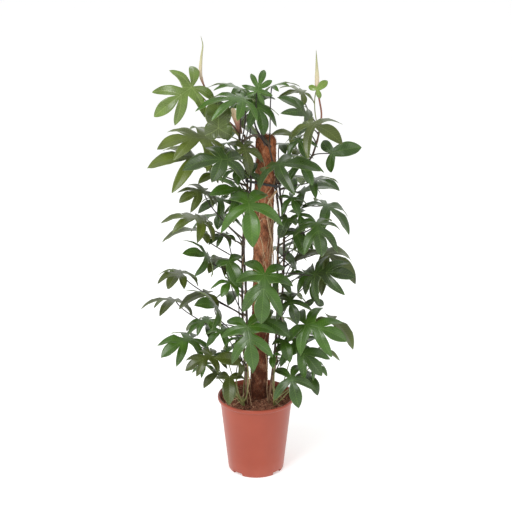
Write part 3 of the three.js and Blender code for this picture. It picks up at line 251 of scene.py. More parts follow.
# Leaves as they stand on the plant: node, stem that carries it and the height where it leaves it, hub where
# the blade starts, direction of its tip (0 is right, -90 the front), dip, roll about the middle rib, length
# and outline
LEAVES = [
    ("leaf_01", "lf", 1072, (-178, -92, 1216), -146, 26, 58, 132, "G"),
    ("leaf_02", "lf", 1036, (-36, -132, 1190), -170, -10, 22, 134, "D"),
    ("leaf_03", "rf", 1050, (-5, -17, 1177), -60, 42, -8, 112, "A"),
    ("leaf_04", "lf", 1052, (-104, -116, 1107), 95, -80, 0, 86, "E"),
    ("leaf_05", "lb", 1040, (-25, 60, 1115), 115, 20, 15, 70, "C"),
    ("leaf_06", "lf", 960, (-140, 0, 1058), -158, -10, 32, 150, "A"),
    ("side_shoot_1", "lb", 900, (-170, -20, 1000), -160, -15, 25, 145, "B"),
    ("side_shoot_1", "lb", 900, (-120, 45, 940), -145, 0, 25, 60, "C"),
    ("leaf_07", "lf", 916, (-78, -182, 1033), -164, -8, 36, 126, "F"),
    ("leaf_08", "lf", 760, (-150, -40, 910), -125, -10, 30, 95, "A"),
    ("leaf_09", "lf", 870, (-45, -78, 921), -138, -20, 35, 96, "B"),
    ("leaf_10", "lf", 740, (-160, -20, 820), -170, -20, 10, 120, "A"),
    ("leaf_11", "lb", 670, (-175, 20, 775), -170, -10, -5, 110, "C"),
    ("side_shoot_2", "lf", 640, (-140, -60, 715), -125, -35, 50, 90, "B"),
    ("side_shoot_2", "lf", 640, (-80, -55, 699), -65, 25, -20, 88, "C"),
    ("leaf_12", "lb", 560, (-105, 40, 680), -110, -10, 10, 90, "A"),
    ("side_shoot_3", "lb", 500, (-225, -10, 655), -105, -10, 10, 100, "A"),
    ("side_shoot_3", "lb", 500, (-150, 0, 580), -160, 0, 10, 95, "C"),
    ("leaf_13", "lb", 400, (-250, 65, 535), -170, -15, -5, 110, "B"),
    ("leaf_14", "lf", 440, (-115, -100, 575), -105, -35, 55, 105, "B"),
    ("leaf_15", "lb", 320, (-200, 12, 428), -135, -5, 20, 115, "A"),
    ("shoot_base_left", "sl", 250, (-135, -75, 407), -145, 0, 25, 90, "A"),
    ("shoot_base_left", "sl", 250, (-50, -70, 385), -130, -35, 60, 85, "C"),
    ("shoot_base_left", "sl", 246, (-120, -50, 340), -140, 15, 15, 60, "C"),
    ("shoot_base_left", "sl", 246, (-80, -95, 345), -90, 20, 0, 85, "C"),
    ("leaf_16", "lf", 1000, (-33, -80, 1047), -72, 36, -5, 82, "B"),
    ("leaf_17", "rf", 946, (50, -130, 1004), -20, -20, -24, 130, "B"),
    ("leaf_18", "lf", 840, (-20, -180, 912), -85, 30, -5, 130, "B"),
    ("leaf_19", "rf", 620, (25, -140, 685), -95, 40, 5, 140, "A"),
    ("leaf_20", "lf", 450, (-25, -140, 525), -80, 40, -10, 125, "A"),
    ("leaf_21", "rf", 480, (30, -70, 520), -35, 10, -35, 85, "C"),
    ("leaf_22", "rb", 1085, (135, 50, 1181), 145, -30, 0, 80, "B"),
    ("leaf_23", "rb", 1070, (150, -55, 1121), -155, -55, 45, 110, "A"),
    ("leaf_24", "rb", 1040, (148, -150, 1125), -45, 0, -25, 110, "B"),
    ("side_shoot_4", "rb", 985, (105, 40, 1060), 165, -15, 20, 75, "C"),
    ("side_shoot_4", "rb", 985, (135, 10, 1020), -115, -15, 10, 60, "C"),
    ("leaf_25", "rb", 1006, (220, -10, 1015), -15, -20, -68, 88, "C"),
    ("side_shoot_5", "rb", 900, (165, -20, 940), -35, -10, -10, 90, "B"),
    ("side_shoot_5", "rb", 900, (140, 40, 890), -10, -30, -15, 100, "C"),
    ("leaf_26", "rb", 845, (205, 30, 850), -30, 20, -5, 115, "B"),
    ("leaf_27", "rf", 740, (173, -110, 832), -85, 15, -5, 115, "A"),
    ("side_shoot_6", "rf", 700, (130, 0, 740), -60, -20, -20, 60, "C"),
    ("side_shoot_6", "rf", 700, (115, 0, 660), -105, -65, 105, 65, "C"),
    ("leaf_28", "rb", 660, (200, 30, 705), -30, 15, -15, 140, "B"),
    ("leaf_29", "rf", 650, (175, -70, 665), -35, -20, -45, 120, "A"),
    ("side_shoot_7", "rb", 535, (155, 40, 620), 145, 5, 10, 70, "C"),
    ("side_shoot_7", "rb", 535, (180, 50, 540), 90, -65, 0, 60, "C"),
    ("leaf_30", "rf", 460, (150, -80, 510), -30, 0, -40, 130, "A"),
    ("side_shoot_8", "rb", 400, (230, 30, 485), -30, 20, 0, 115, "C"),
    ("side_shoot_8", "rb", 400, (195, 60, 370), -15, -5, 0, 75, "C"),
    ("leaf_31", "rf", 360, (119, -50, 428), -45, 20, -30, 120, "A"),
    ("shoot_base_right", "sr", 250, (104, -117, 359), -75, 35, -15, 96, "B"),
    ("shoot_base_right", "sr", 250, (155, -30, 325), -60, 10, -5, 75, "C"),
    ("side_shoot_9", "lb", 980, (-60, 170, 1060), 110, 0, 0, 120, "B"),
    ("side_shoot_9", "lb", 980, (-10, 110, 1130), 75, -15, 0, 100, "B"),
    ("side_shoot_10", "rb", 840, (100, 190, 900), 65, 0, 0, 125, "B"),
    ("side_shoot_10", "rb", 840, (30, 150, 950), 100, 5, 0, 110, "B"),
    ("side_shoot_11", "lb", 720, (-110, 170, 780), 125, 0, 0, 120, "B"),
    ("side_shoot_11", "lb", 720, (-20, 180, 820), 95, 10, 0, 110, "B"),
    ("side_shoot_12", "rb", 600, (70, 210, 660), 80, 5, 0, 125, "B"),
    ("side_shoot_12", "rb", 600, (150, 150, 700), 45, 0, 0, 115, "B"),
    ("side_shoot_13", "lb", 420, (-60, 190, 520), 105, 10, 0, 120, "B"),
    ("side_shoot_13", "lb", 420, (-150, 130, 430), 140, 0, 0, 110, "B"),
    ("side_shoot_14", "rb", 380, (60, 170, 440), 80, 10, 0, 115, "B"),
    ("side_shoot_14", "rb", 380, (150, 140, 400), 40, 5, 0, 105, "B"),
]
# Small inner leaves that the solids leave out: as above, without a node
SMALL_LEAVES = [
    ("lf", 1060, (-45, -60, 1209), 170, -25, 0, 96, "D"),
    ("rf", 1040, (45, 10, 1205), 5, -25, 5, 80, "D"),
    ("rf", 1045, (4, -50, 1200), 50, -62, -40, 80, "D"),
    ("lf", 985, (-70, -45, 1035), -100, -20, 20, 55, "B"),
    ("lf", 900, (-60, -90, 985), -80, 5, 0, 65, "B"),
    ("lb", 850, (-100, 50, 860), -150, 0, 20, 85, "B"),
    ("lb", 620, (-90, 0, 765), -150, 0, 15, 60, "A"),
    ("lf", 520, (-75, -60, 640), -110, 5, 15, 65, "B"),
    ("lb", 450, (-150, 40, 480), -150, 5, 10, 75, "A"),
    ("lf", 360, (-100, -50, 480), -140, 10, 10, 70, "B"),
    ("rb", 1000, (120, -30, 1060), -70, 20, -15, 70, "B"),
    ("rb", 930, (125, -40, 995), -60, 25, -20, 80, "B"),
    ("rb", 800, (125, -30, 840), -75, 25, -10, 60, "B"),
    ("rf", 680, (115, -60, 790), -70, 20, -10, 75, "C"),
    ("rb", 600, (150, 10, 640), -50, 15, -5, 75, "B"),
    ("rf", 500, (100, -70, 585), -75, 25, -15, 80, "B"),
    ("rf", 330, (85, -60, 450), -80, 20, -15, 70, "C"),
    ("lf", 340, (-50, -80, 470), -90, 0, 10, 60, "B"),
    ("sl", 250, (-15, -80, 400), -70, 25, 15, 45, "C"),
    ("sl", 236, (-100, -10, 390), -150, 5, 15, 45, "C"),
    ("sl", 232, (-155, 0, 345), -170, 5, 10, 50, "B"),
    ("sl", 240, (-50, 30, 400), 150, 0, 10, 45, "C"),
    ("sr", 236, (50, -100, 420), -95, 10, -10, 45, "C"),
    ("sr", 232, (175, -60, 375), -30, 10, -10, 55, "B"),
    ("sr", 240, (60, 40, 350), 30, 5, 0, 45, "C"),
    ("sr", 234, (130, 10, 410), -20, 5, 0, 55, "B"),
    ("rb", 820, (100, -40, 890), -65, 20, -10, 65, "B"),
    ("rf", 770, (90, -65, 830), -120, 30, 15, 60, "C"),
    ("rb", 750, (118, -10, 785), -75, 10, -10, 70, "C"),
    ("lf", 890, (-14, -60, 965), 75, -50, 0, 55, "C"),
    ("lb", 950, (-85, 60, 1030), 170, 5, 0, 65, "B"),
    ("rf", 550, (60, -50, 645), -40, 10, -10, 65, "B"),
    ("rb", 950, (70, 100, 1020), 70, 0, 0, 80, "B"),
    ("lb", 800, (-60, 100, 880), 120, 5, 0, 80, "B"),
    ("rb", 700, (90, 100, 790), 60, 5, 0, 80, "B"),
    ("lb", 520, (-30, 100, 610), 100, 10, 0, 80, "A"),
    ("rb", 480, (100, 90, 550), 50, 5, 0, 80, "B"),
    ("lb", 330, (-70, 90, 370), 120, 10, 0, 70, "C"),
]
# A leaf that unfolds at the foot of the right rolled leaf
UNFOLDING = ("unfolding_leaf", "rb", 1085, (173, -26, 1200), 8, -42, -72, 44, "C")

# Thin roots that lie on the coir: radius, then heights and how far right of the pole's middle, in its radii
COIR_ROOTS = [
    (1.3, [(1030, -.85), (1009, -.45), (994, -.16), (970, -.1), (945, -.2)]),
    (1.6, [(940, .97), (927, .86), (910, .5), (893, .13), (868, 0)]),
    (1.3, [(812, -.5), (818, -.28), (822, 0), (815, .4), (798, .65), (770, .7)]),
    (1.5, [(862, -.1), (845, .2), (820, .55), (780, .78), (740, .85), (700, .7), (665, .55)]),
    (1.1, [(850, .3), (810, .62), (760, .6), (720, .45), (690, .6)]),
    (1.4, [(790, -.92), (762, -.8), (735, -.4), (708, 0), (680, .1)]),
    (1.0, [(660, -.6), (620, -.3), (590, -.35), (560, -.7)]),
    (1.0, [(470, .8), (430, .5), (400, .55), (370, .85)]),
    (2.6, [(885, .35), (860, .68), (830, .86), (790, .9), (750, .95), (710, .88), (670, .93)]),
    (2.0, [(850, .6), (820, .78), (790, .7), (760, .82), (730, .75), (690, .78), (655, .85)]),
    (1.8, [(765, -.3), (745, -.1), (722, .05), (700, .25)]),
    (1.6, [(875, -.6), (850, -.4), (830, -.45), (800, -.7)]),
    (1.5, [(690, .2), (665, .4), (640, .35), (600, .6), (560, .65)]),
]
# Thin roots in the open: radius and points
FREE_ROOTS = [
    (2.2, [(-26, -42, 370), (-22, -47, 330), (-20, -46, 310), (-25, -46, 285), (-28, -47, 260),
           (-26, -48, 236)]),
    (1.3, [(-24, -44, 280), (-19, -52, 262), (-16, -60, 246), (-12, -66, 235)]),
    (1.2, [(-40, -50, 262), (-58, -50, 254), (-70, -47, 247), (-88, -40, 236)]),
    (1.3, [(-36, -50, 270), (-50, -62, 250), (-70, -68, 238)]),
    (1.4, [(30, -28, 390), (34, -26, 350), (35, -30, 310), (34, -33, 270), (37, -35, 236)]),
    (1.1, [(46, -50, 270), (56, -58, 252), (70, -66, 241), (84, -70, 234)]),
    (1.2, [(50, -40, 290), (70, -36, 260), (90, -30, 238)]),
]
# Grey roots that arch from the left stems over the top of the coir: radius and points
ARCHED_ROOTS = [
    (4.4, [(-46, -34, 1036), (-34, -39, 1057), (-14, -40, 1069), (4, -36, 1070), (18, -30, 1060),
           (26, -30, 1040)]),
    (3.6, [(-44, -36, 1030), (-30, -42, 1046), (-14, -42, 1043), (-2, -38, 1033), (8, -34, 1020),
           (12, -32, 990)]),
]
# The swollen foot of the middle crown leaf's stalk
CROWN_STALK = [(-6, -22, 1168), (-7, -34, 1130), (-2, -42, 1100), (9, -44, 1076), (24, -42, 1055),
               (41, -37, 1037)]
# The rolled leaves: path, how much of it is stalk, radius of the stalk and of the roll, turns of the winding
SPEARS = {
    "spear_left": (
        [(-51, -35, 1079), (-62, -35, 1095), (-85, -38, 1118), (-114, -40, 1142), (-136, -38, 1190),
         (-155, -36, 1240), (-153, -36, 1290), (-148, -36, 1325), (-153, -36, 1350)],
        0.55, 2.6, 4.8, 1.5),
    "spear_right": (
        [(185, -14, 1094), (187, -14, 1130), (181, -14, 1165), (174, -14, 1200), (172, -13, 1245),
         (169, -12, 1309)],
        0.45, 2.6, 6.2, -1.2),
}
# Leaves of a young, pale green
YOUNG_LEAVES = ("leaf_01", "leaf_04")
# Leaves of an older, olive green
OLIVE_LEAVES = (
    "leaf_06", "side_shoot_1", "leaf_08", "leaf_10", "leaf_11", "leaf_12", "side_shoot_3", "leaf_13",
    "leaf_22", "leaf_16", "leaf_24", "leaf_28", "shoot_base_left", "side_shoot_8", "side_shoot_4",
)
# How fresh and light a leaf is, where it isn't left to chance
FRESHNESS = {
    "leaf_02": 0.55, "leaf_04": 0.05, "leaf_09": 0.6, "leaf_18": 0.6, "leaf_19": 0.45, "leaf_20": 0.5,
    "small_leaf_03": 0.55, "leaf_30": 0.6, "leaf_31": 0.4, "leaf_12": 0.1, "leaf_13": 0.15,
    "side_shoot_3": 0.12, "leaf_28": 0.15,
}


# Random numbers

def seeded(seed):
    """A repeatable source of numbers from 0 to 1."""
    state = seed & 0xFFFFFFFF

    def mixed(a, b):
        return (a * b) & 0xFFFFFFFF

    def draw():
        nonlocal state
        state = (state + 0x6D2B79F5) & 0xFFFFFFFF
        t = mixed(state ^ (state >> 15), state | 1)
        t ^= (t + mixed(t ^ (t >> 7), t | 61)) & 0xFFFFFFFF
        return ((t ^ (t >> 14)) & 0xFFFFFFFF) / 4294967296
    return draw


# Meshes

def piece(name, points, faces, finishes, face_finish=None, values=None):
    """A mesh object from points and faces, with its finishes and named values at its points."""
    mesh = bpy.data.meshes.new(name)
    mesh.from_pydata([tuple(p) for p in points], [], [tuple(f) for f in faces])
    for finish in finishes:
        mesh.materials.append(finish)
    if face_finish is not None:
        mesh.polygons.foreach_set("material_index", np.asarray(face_finish, np.int32))
    mesh.polygons.foreach_set("use_smooth", np.ones(len(mesh.polygons), bool))
    for key, value in (values or {}).items():
        value = np.asarray(value, np.float32)
        if value.ndim == 1:
            layer = mesh.attributes.new(key, "FLOAT", "POINT")
            layer.data.foreach_set("value", value)
        else:
            layer = mesh.attributes.new(key, "FLOAT_VECTOR", "POINT")
            layer.data.foreach_set("vector", value.reshape(-1))
    mesh.update()
    obj = bpy.data.objects.new(name, mesh)
    bpy.context.scene.collection.objects.link(obj)
    return obj


def dress(obj, slot, *nodes):
    """Makes a piece stand for its nodes, which it hides, and attaches it to the root. The slot is not used.
    """
    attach(obj, "root")
    if nodes:
        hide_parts(*nodes)


class Parts:
    """Points and faces gathered from several shapes into one mesh."""

    def __init__(self):
        self.points = []
        self.faces = []
        self.finish = []
        self.values = {}
        self.count = 0

    def add(self, points, faces, finish=0, **values):
        """Adds a shape, with one finish or one for each face, and values for all of it or for each point."""
        points = np.asarray(points, float)
        self.points.append(points)
        self.faces.extend(tuple(i + self.count for i in face) for face in faces)
        self.finish.extend(np.broadcast_to(finish, len(faces)))
        for key, value in values.items():
            value = np.asarray(value, float)
            if value.ndim == 0:
                value = np.full(len(points), float(value))
            self.values.setdefault(key, []).append(value)
        self.count += len(points)

    def tube(self, path, radius, sides, **values):
        """Adds a closed tube, with how far along it each point lies."""
        values.setdefault("along", tube_along(len(path), sides))
        self.add(*tube(path, radius, sides), **values)

    def object(self, name, finishes):
        """The mesh object of all that was added."""
        values = {key: np.concatenate(parts) for key, parts in self.values.items()}
        return piece(name, np.concatenate(self.points), self.faces, finishes, self.finish, values)


def metres(millimetres):
    """Metres from the millimetres of the tables."""
    return np.asarray(millimetres) / 1000


def unit(v):
    """The vector of length 1 that points the same way."""
    v = np.asarray(v, float)
    return v / np.linalg.norm(v)


def level(angle):
    """The level vector of length 1 at an angle from the right."""
    return np.array([math.cos(angle), math.sin(angle), 0])


def around(count):
    """Evenly spaced angles round a circle."""
    return np.linspace(0, 2 * np.pi, count, endpoint=False)


def eased(x):
    """A rise from 0 to 1 that starts and ends gently."""
    x = np.clip(x, 0, 1)
    return x * x * (3 - 2 * x)


def smooth_path(points, count):
    """Evenly spaced points on the centripetal curve through the given ones."""
    p = np.asarray(points, float)
    p = np.vstack([2 * p[0] - p[1], p, 2 * p[-1] - p[-2]])
    fine = []
    for i in range(1, len(p) - 2):
        step = [max(np.linalg.norm(p[i + k] - p[i + k - 1]) ** 0.5, SHORTEST_STEP) for k in range(3)]
        x0, x1, x2, x3 = p[i - 1:i + 3]
        t1 = ((x1 - x0) / step[0] - (x2 - x0) / (step[0] + step[1]) + (x2 - x1) / step[1]) * step[1]
        t2 = ((x2 - x1) / step[1] - (x3 - x1) / (step[1] + step[2]) + (x3 - x2) / step[2]) * step[1]
        s = np.linspace(0, 1, CURVE_STEPS, endpoint=i == len(p) - 3)[:, None]
        last = (2 * x1 - 2 * x2 + t1 + t2) * s ** 3
        fine.append(x1 + t1 * s + (-3 * x1 + 3 * x2 - 2 * t1 - t2) * s ** 2 + last)
    return evenly(np.vstack(fine), count)


def evenly(path, count):
    """The same path with evenly spaced points."""
    lengths = np.concatenate([[0], np.cumsum(np.linalg.norm(np.diff(path, axis=0), axis=1))])
    at = np.linspace(0, lengths[-1], count)
    return np.stack([np.interp(at, lengths, path[:, k]) for k in range(3)], axis=1)


def grid(rows, across, close_rows=False, close_across=False):
    """Faces between the rows of points of a grid, which can close on itself either way."""
    faces = []
    for i in range(rows if close_rows else rows - 1):
        n = (i + 1) % rows
        for j in range(across if close_across else across - 1):
            m = (j + 1) % across
            faces.append((i * across + j, n * across + j, n * across + m, i * across + m))
    return faces


def roll_faces(rings, sides):
    """Faces of a closed roll. Its rings of points come first, then the middles of its two ends."""
    faces = grid(rings, sides, close_across=True)
    middle = rings * sides
    last = middle - sides
    for j in range(sides):
        n = (j + 1) % sides
        faces += [(middle, j, n), (middle + 1, last + n, last + j)]
    return faces


def flipped(faces, offset=0):
    """The same faces seen from their other side, for points that come later by an offset."""
    return [tuple(i + offset for i in (face[0], *face[:0:-1])) for face in faces]


def tube(path, radius, sides):
    """Points and faces of a closed tube along a path. The radius is one for each point, or a row of them."""
    path = np.asarray(path, float)
    count = len(path)
    if np.ndim(radius):
        radius = np.reshape(radius, (count, -1))
    radius = np.broadcast_to(radius, (count, sides))
    tangent = np.gradient(path, axis=0)
    tangent /= np.linalg.norm(tangent, axis=1)[:, None]
    start = (0, 0, 1) if abs(tangent[0][2]) < 0.9 else (1, 0, 0)
    side = np.zeros((count, 3))
    side[0] = unit(np.cross(tangent[0], start))
    for i in range(1, count):
        side[i] = unit(side[i - 1] - tangent[i] * np.dot(side[i - 1], tangent[i]))
    other = np.cross(tangent, side)
    turn = around(sides)[None, :, None]
    ring = side[:, None] * np.cos(turn) + other[:, None] * np.sin(turn)
    points = (path[:, None] + ring * radius[:, :, None]).reshape(-1, 3)
    return np.vstack([points, path[0], path[-1]]), flipped(roll_faces(count, sides))


def tube_along(count, sides):
    """How far along a tube each of its points lies, from 0 to 1."""
    return np.concatenate([np.repeat(np.linspace(0, 1, count), sides), [0, 1]])


def welded(points, faces):
    """Which points stay when coinciding ones are joined, and the faces between them that don't collapse."""
    key = np.round(points / WELD_WITHIN).astype(np.int64)
    _, first, index = np.unique(key, axis=0, return_index=True, return_inverse=True)
    index = index.reshape(-1)
    rings = [tuple(dict.fromkeys(index[corner] for corner in face)) for face in faces]
    return first, [ring for ring in rings if len(ring) > 2]


def point_normals(points, faces):
    """Normals at the points of a mesh, from the faces round them."""
    normals = np.zeros_like(points)
    for size in (3, 4):
        some = np.array([face for face in faces if len(face) == size], int)
        if not len(some):
            continue
        a, b, c = points[some[:, 0]], points[some[:, 1]], points[some[:, 2]]
        cross = np.cross(b - a, c - a)
        if size == 4:
            cross = cross + np.cross(c - a, points[some[:, 3]] - a)
        for corner in range(size):
            np.add.at(normals, some[:, corner], cross)
    length = np.linalg.norm(normals, axis=1)
    length[length == 0] = 1
    return normals / length[:, None]


# Leaves

def lobe_outline(along):
    """Half the width of a lobe at a share of its length, as a share of its widest."""
    along = np.clip(along, 0, 1)
    return along ** LOBE_WIDENS * (1 - along) ** LOBE_NARROWS / LOBE_WIDEST


def leaf_lobes(leaf):
    """All lobes of one leaf in order round the hub, each a little different."""
    draw = seeded(leaf["seed"])
    middle_width, middle_notch, side_lobes = FORMS[leaf["form"]]
    size = leaf["length"]

    def chance(amount):
        return amount * (2 * draw() - 1)

    def make(lobe, sign):
        angle, length, width, start, notch = lobe
        return {
            "sign": sign,
            "angle": sign * math.radians(angle + chance(ANGLE_VARIES)),
            "length": size * length * (1 + chance(SIZE_VARIES)),
            "width": size * width * (1 + chance(SIZE_VARIES)),
            "from": size * start,
            "bend": CURL * (1 + chance(CURL_VARIES)),
            "twist": math.radians(chance(TWIST_VARIES)),
            "notch": notch,
        }
    right = [make(lobe, -1) for lobe in side_lobes]
    left = [make(lobe, 1) for lobe in side_lobes]
    first = side_lobes[-1][3]
    middle = {
        "sign": 0,
        "angle": 0,
        "length": size * (1 - first),
        "width": size * middle_width,
        "from": size * first,
        "bend": CURL * MIDDLE_CURL,
        "twist": math.radians(chance(MIDDLE_TWIST_VARIES)),
        "notch": middle_notch,
    }
    return right + [middle] + left[::-1]


def rib_point(lobe, e):
    """Points of a lobe's rib in the flat blade, with the directions along and across it."""
    e = np.atleast_1d(np.asarray(e, float))
    angle = lobe["angle"] - RIB_BENDS * lobe["sign"] * e / lobe["length"]
    along = np.stack([np.cos(angle), np.sin(angle)], axis=1)
    at = along * e[:, None] + np.array([lobe["from"], 0])
    return at, along, np.stack([-along[:, 1], along[:, 0]], axis=1)


def notch_point(before, after, leaf):
    """The cut between two neighbouring lobes."""
    middle = (before["angle"] + after["angle"]) / 2
    start = (before["from"] + after["from"]) / 2
    depth = max(before["notch"], after["notch"]) * leaf["length"]
    if before["sign"] > after["sign"]:
        middle = math.pi
        start = 0
        depth = before["notch"] * leaf["length"]
    return np.array([start + math.cos(middle) * depth, math.sin(middle) * depth])


def blade_grid(leaf, lobe, ribs, edges, past, e, side, parts):
    """One side of a lobe between its rib and its edge, bent to its place."""
    t = (np.arange(CROSS + 1) / CROSS) ** CROSS_CROWDS
    flat = ribs[:, None] + (edges - ribs)[:, None] * t[None, :, None]
    out = (np.linalg.norm(edges - ribs, axis=1)[:, None] * t[None]).reshape(-1)
    t = np.tile(t, len(ribs))
    past = np.repeat(past, CROSS + 1)
    e = np.repeat(e, CROSS + 1)
    points = bent(leaf, lobe, flat.reshape(-1, 2), out, past, e, t, side)
    faces = grid(len(ribs), CROSS + 1)
    if side < 0:
        faces = [face[::-1] for face in faces]
    parts.add(points, faces, vein=np.stack([e + lobe["from"], side * out, t], axis=1))


def bent(leaf, lobe, flat, out, past, e, t, side):
    """Flat points of the blade in their bent place, in the blade's own frame."""
    _, along, _ = rib_point(lobe, e)
    place = np.column_stack([flat, np.zeros(len(flat))])
    tail = past * lobe["length"] * CURLED_SHARE
    bend = lobe["bend"] / lobe["length"]
    place[:, :2] -= along * (tail - np.sin(bend * tail) / bend)[:, None]
    place[:, 2] -= (1 - np.cos(bend * tail)) / bend
    ramp = eased(past * FOLD_QUICKENS)
    rise = math.tan(FOLD) + side * math.tan(lobe["twist"])
    place[:, 2] += out * np.maximum(t, 1e-6) ** FOLD_ROUNDS * ramp * rise
    long_wave = np.sin(e / LONG_WAVE + 3 * side + 40 * lobe["width"] / MM)
    short_wave = np.sin(e / SHORT_WAVE + 7 * side)
    place[:, 2] += WAVE_HEIGHT * ramp * t ** 2 * (long_wave + SHORT_WAVE_SHARE * short_wave)
    reach = np.maximum(np.hypot(place[:, 0], place[:, 1]), 1e-9)
    droop = DROOP / leaf["length"]
    place[:, :2] *= (np.sin(droop * reach) / (droop * reach))[:, None]
    place[:, 2] -= (1 - np.cos(droop * reach)) / droop
    return place


def blade_upper(leaf):
    """The blade's upper face, with a value at each point that says where it lies on its lobe."""
    lobes = leaf_lobes(leaf)
    parts = Parts()
    for index, lobe in enumerate(lobes):
        before = lobes[index - 1]
        after = lobes[(index + 1) % len(lobes)]
        cuts = [(-1, notch_point(before, lobe, leaf), before), (1, notch_point(lobe, after, leaf), after)]
        past, e = lobe_rows(lobe, cuts)
        ribs, _, across = rib_point(lobe, e)
        start = rib_point(lobe, 0)[0][0]
        for side, cut, other in cuts:
            lower = other["from"] < lobe["from"] and lobe["sign"] != 0
            pinned = 0 if lower else BASE_ROWS
            edges = ribs + side * across * (lobe["width"] * lobe_outline(e / lobe["length"]))[:, None]
            pull = cut - edges[pinned]
            x = (e - e[pinned]) / (lobe["length"] - e[pinned])
            edges = edges + pull * ((1 - np.clip(x, 0, 1)) ** 2)[:, None]
            for k in range(pinned):
                edges[k] = start + (cut - start) * k / BASE_ROWS
            blade_grid(leaf, lobe, ribs, edges, past, e, side, parts)
            if lower:
                steps = (np.arange(BASE_ROWS + 1) / BASE_ROWS)[:, None]
                flat = np.zeros(BASE_ROWS + 1)
                blade_grid(leaf, lobe, steps * start, steps * cut, flat, flat, side, parts)
    points = np.concatenate(parts.points)
    first, faces = welded(points, parts.faces)
    return points[first], faces, np.concatenate(parts.values["vein"])[first]


def lobe_rows(lobe, cuts):
    """Where the rows of a lobe lie on its rib: as a share past its cuts, and as a length from its start."""
    start, along, _ = rib_point(lobe, 0)
    own = [cut for _, cut, other in cuts if other["from"] >= lobe["from"] or lobe["sign"] == 0]
    reach = sum(float((cut - start[0]) @ along[0]) for cut in own) / len(own)
    reach = min(max(reach, LEAST_BASE * lobe["length"]), MOST_BASE * lobe["length"])
    rows = MIDDLE_ROWS if lobe["sign"] == 0 else SIDE_ROWS
    share = np.sin(np.linspace(0, np.pi / 2, rows + 1)) ** ROWS_CROWD
    base = np.arange(BASE_ROWS) / BASE_ROWS * reach
    e = np.concatenate([base, reach + share * (lobe["length"] - reach)])
    return np.concatenate([np.zeros(BASE_ROWS), share]), e


def blade(leaf, parts, tone):
    """A thin closed blade with a groove over each rib and a ridge under it."""
    points, faces, vein = blade_upper(leaf)
    matrix, _, _ = blade_frame(leaf)
    normals = point_normals(points, faces)
    share = vein[:, 0] / leaf["length"]
    on_rib = np.clip(1 - np.abs(vein[:, 1]) / RIB_HALF, 0, 1) * np.clip(1.2 - share, 0.25, 1)
    top = points - normals * (on_rib * GROOVE)[:, None]
    bottom = points - normals * (BLADE_THICKNESS + on_rib * RIDGE)[:, None]
    placed = np.vstack([top, bottom]) @ matrix[:3, :3].T + matrix[:3, 3]
    count = len(points)
    edges = dict.fromkeys(edge for face in faces for edge in zip(face, face[1:] + face[:1]))
    rim = [(b, a, a + count, b + count) for a, b in edges if (b, a) not in edges]
    below = [tuple(i + count for i in reversed(face)) for face in faces]
    finish = [UPPER] * len(faces) + [LOWER] * (len(below) + len(rim))
    along = np.clip(np.tile(share, 2), 0, 1)
    parts.add(placed, faces + below + rim, finish, vein=np.vstack([vein, vein]), tone=tone, along=along)


def blade_frame(leaf):
    """The frame of a blade: x along its middle rib, z out of its upper face."""
    aim, dip, roll = (math.radians(leaf[key]) for key in ("aim", "dip", "roll"))
    along = level(aim) * math.cos(dip) - np.array([0, 0, math.sin(dip)])
    aside = np.array([-math.sin(aim), math.cos(aim), 0])
    normal = np.cross(along, aside) * math.cos(roll) + aside * math.sin(roll)
    across = np.cross(normal, along)
    matrix = np.eye(4)
    matrix[:3] = np.column_stack([along, across, normal, leaf["hub"]])
    return matrix, along, normal


def petiole_path(leaf, count):
    """A petiole's path from its stem to the hub, which it meets from behind and below."""
    _, along, normal = blade_frame(leaf)
    start = leaf["start"]
    hub = leaf["hub"] - normal * HUB_SINKS
    reach = np.linalg.norm(hub - start)
    leave = unit(leaf["outward"] * DEPARTS_OUT + np.array([0, 0, DEPARTS_UP]))
    arrive = along * ARRIVES_ALONG + normal * ARRIVES_FROM_BELOW
    first = start + leave * min(DEPARTS_SHARE * reach, DEPARTS_MOST)
    last = hub - arrive * min(ARRIVES_SHARE * reach, ARRIVES_MOST)
    s = np.linspace(0, 1, PETIOLE_STEPS)[:, None]
    path = (1 - s) ** 3 * start + 3 * s * (1 - s) ** 2 * first + 3 * s * s * (1 - s) * last + s ** 3 * hub
    return evenly(path, count)


def petiole(leaf, parts, tone):
    """A thin stalk, sheathed at its foot and a little swollen under the blade."""
    s = np.linspace(0, 1, PETIOLE_POINTS)
    thick = PETIOLE_RADIUS * (0.75 + leaf["length"] / PETIOLE_LEAF)
    foot = PETIOLE_FOOT * np.clip(1 - s * 6, 0, 1) ** 0.8
    knee = PETIOLE_KNEE * np.exp(-((s - 0.95) / 0.035) ** 2)
    radius = thick * (1 + foot + knee) * (1 - PETIOLE_TAPER * s)
    stalk(parts, petiole_path(leaf, PETIOLE_POINTS), radius, 8, tone)


def stalk(parts, path, radius, sides, tone):
    """A stalk of a leafy piece. It has no veins."""
    points = len(path) * sides + 2
    parts.tube(path, radius, sides, finish=STALK, vein=np.zeros((points, 3)), tone=tone)


def add_leaf(leaf, parts, tone):
    """One whole leaf: its blade and its petiole."""
    blade(leaf, parts, tone)
    petiole(leaf, parts, tone)


def stem_point(key, z):
    """The point of a stem or stalk at a height."""
    if key in STALKS:
        foot = metres(STALKS[key]["foot"])
        head = metres(STALKS[key]["head"])
        return foot + (head - foot) * (z - foot[2]) / (head[2] - foot[2])
    path = STEM_PATHS[key]
    at = int(np.argmax(path[:, 2] >= z))
    low = path[at - 1]
    return low + (path[at] - low) * (z - low[2]) / (path[at][2] - low[2])


STEM_PATHS = {key: smooth_path(metres(points), 400) for key, points in STEMS.items()}


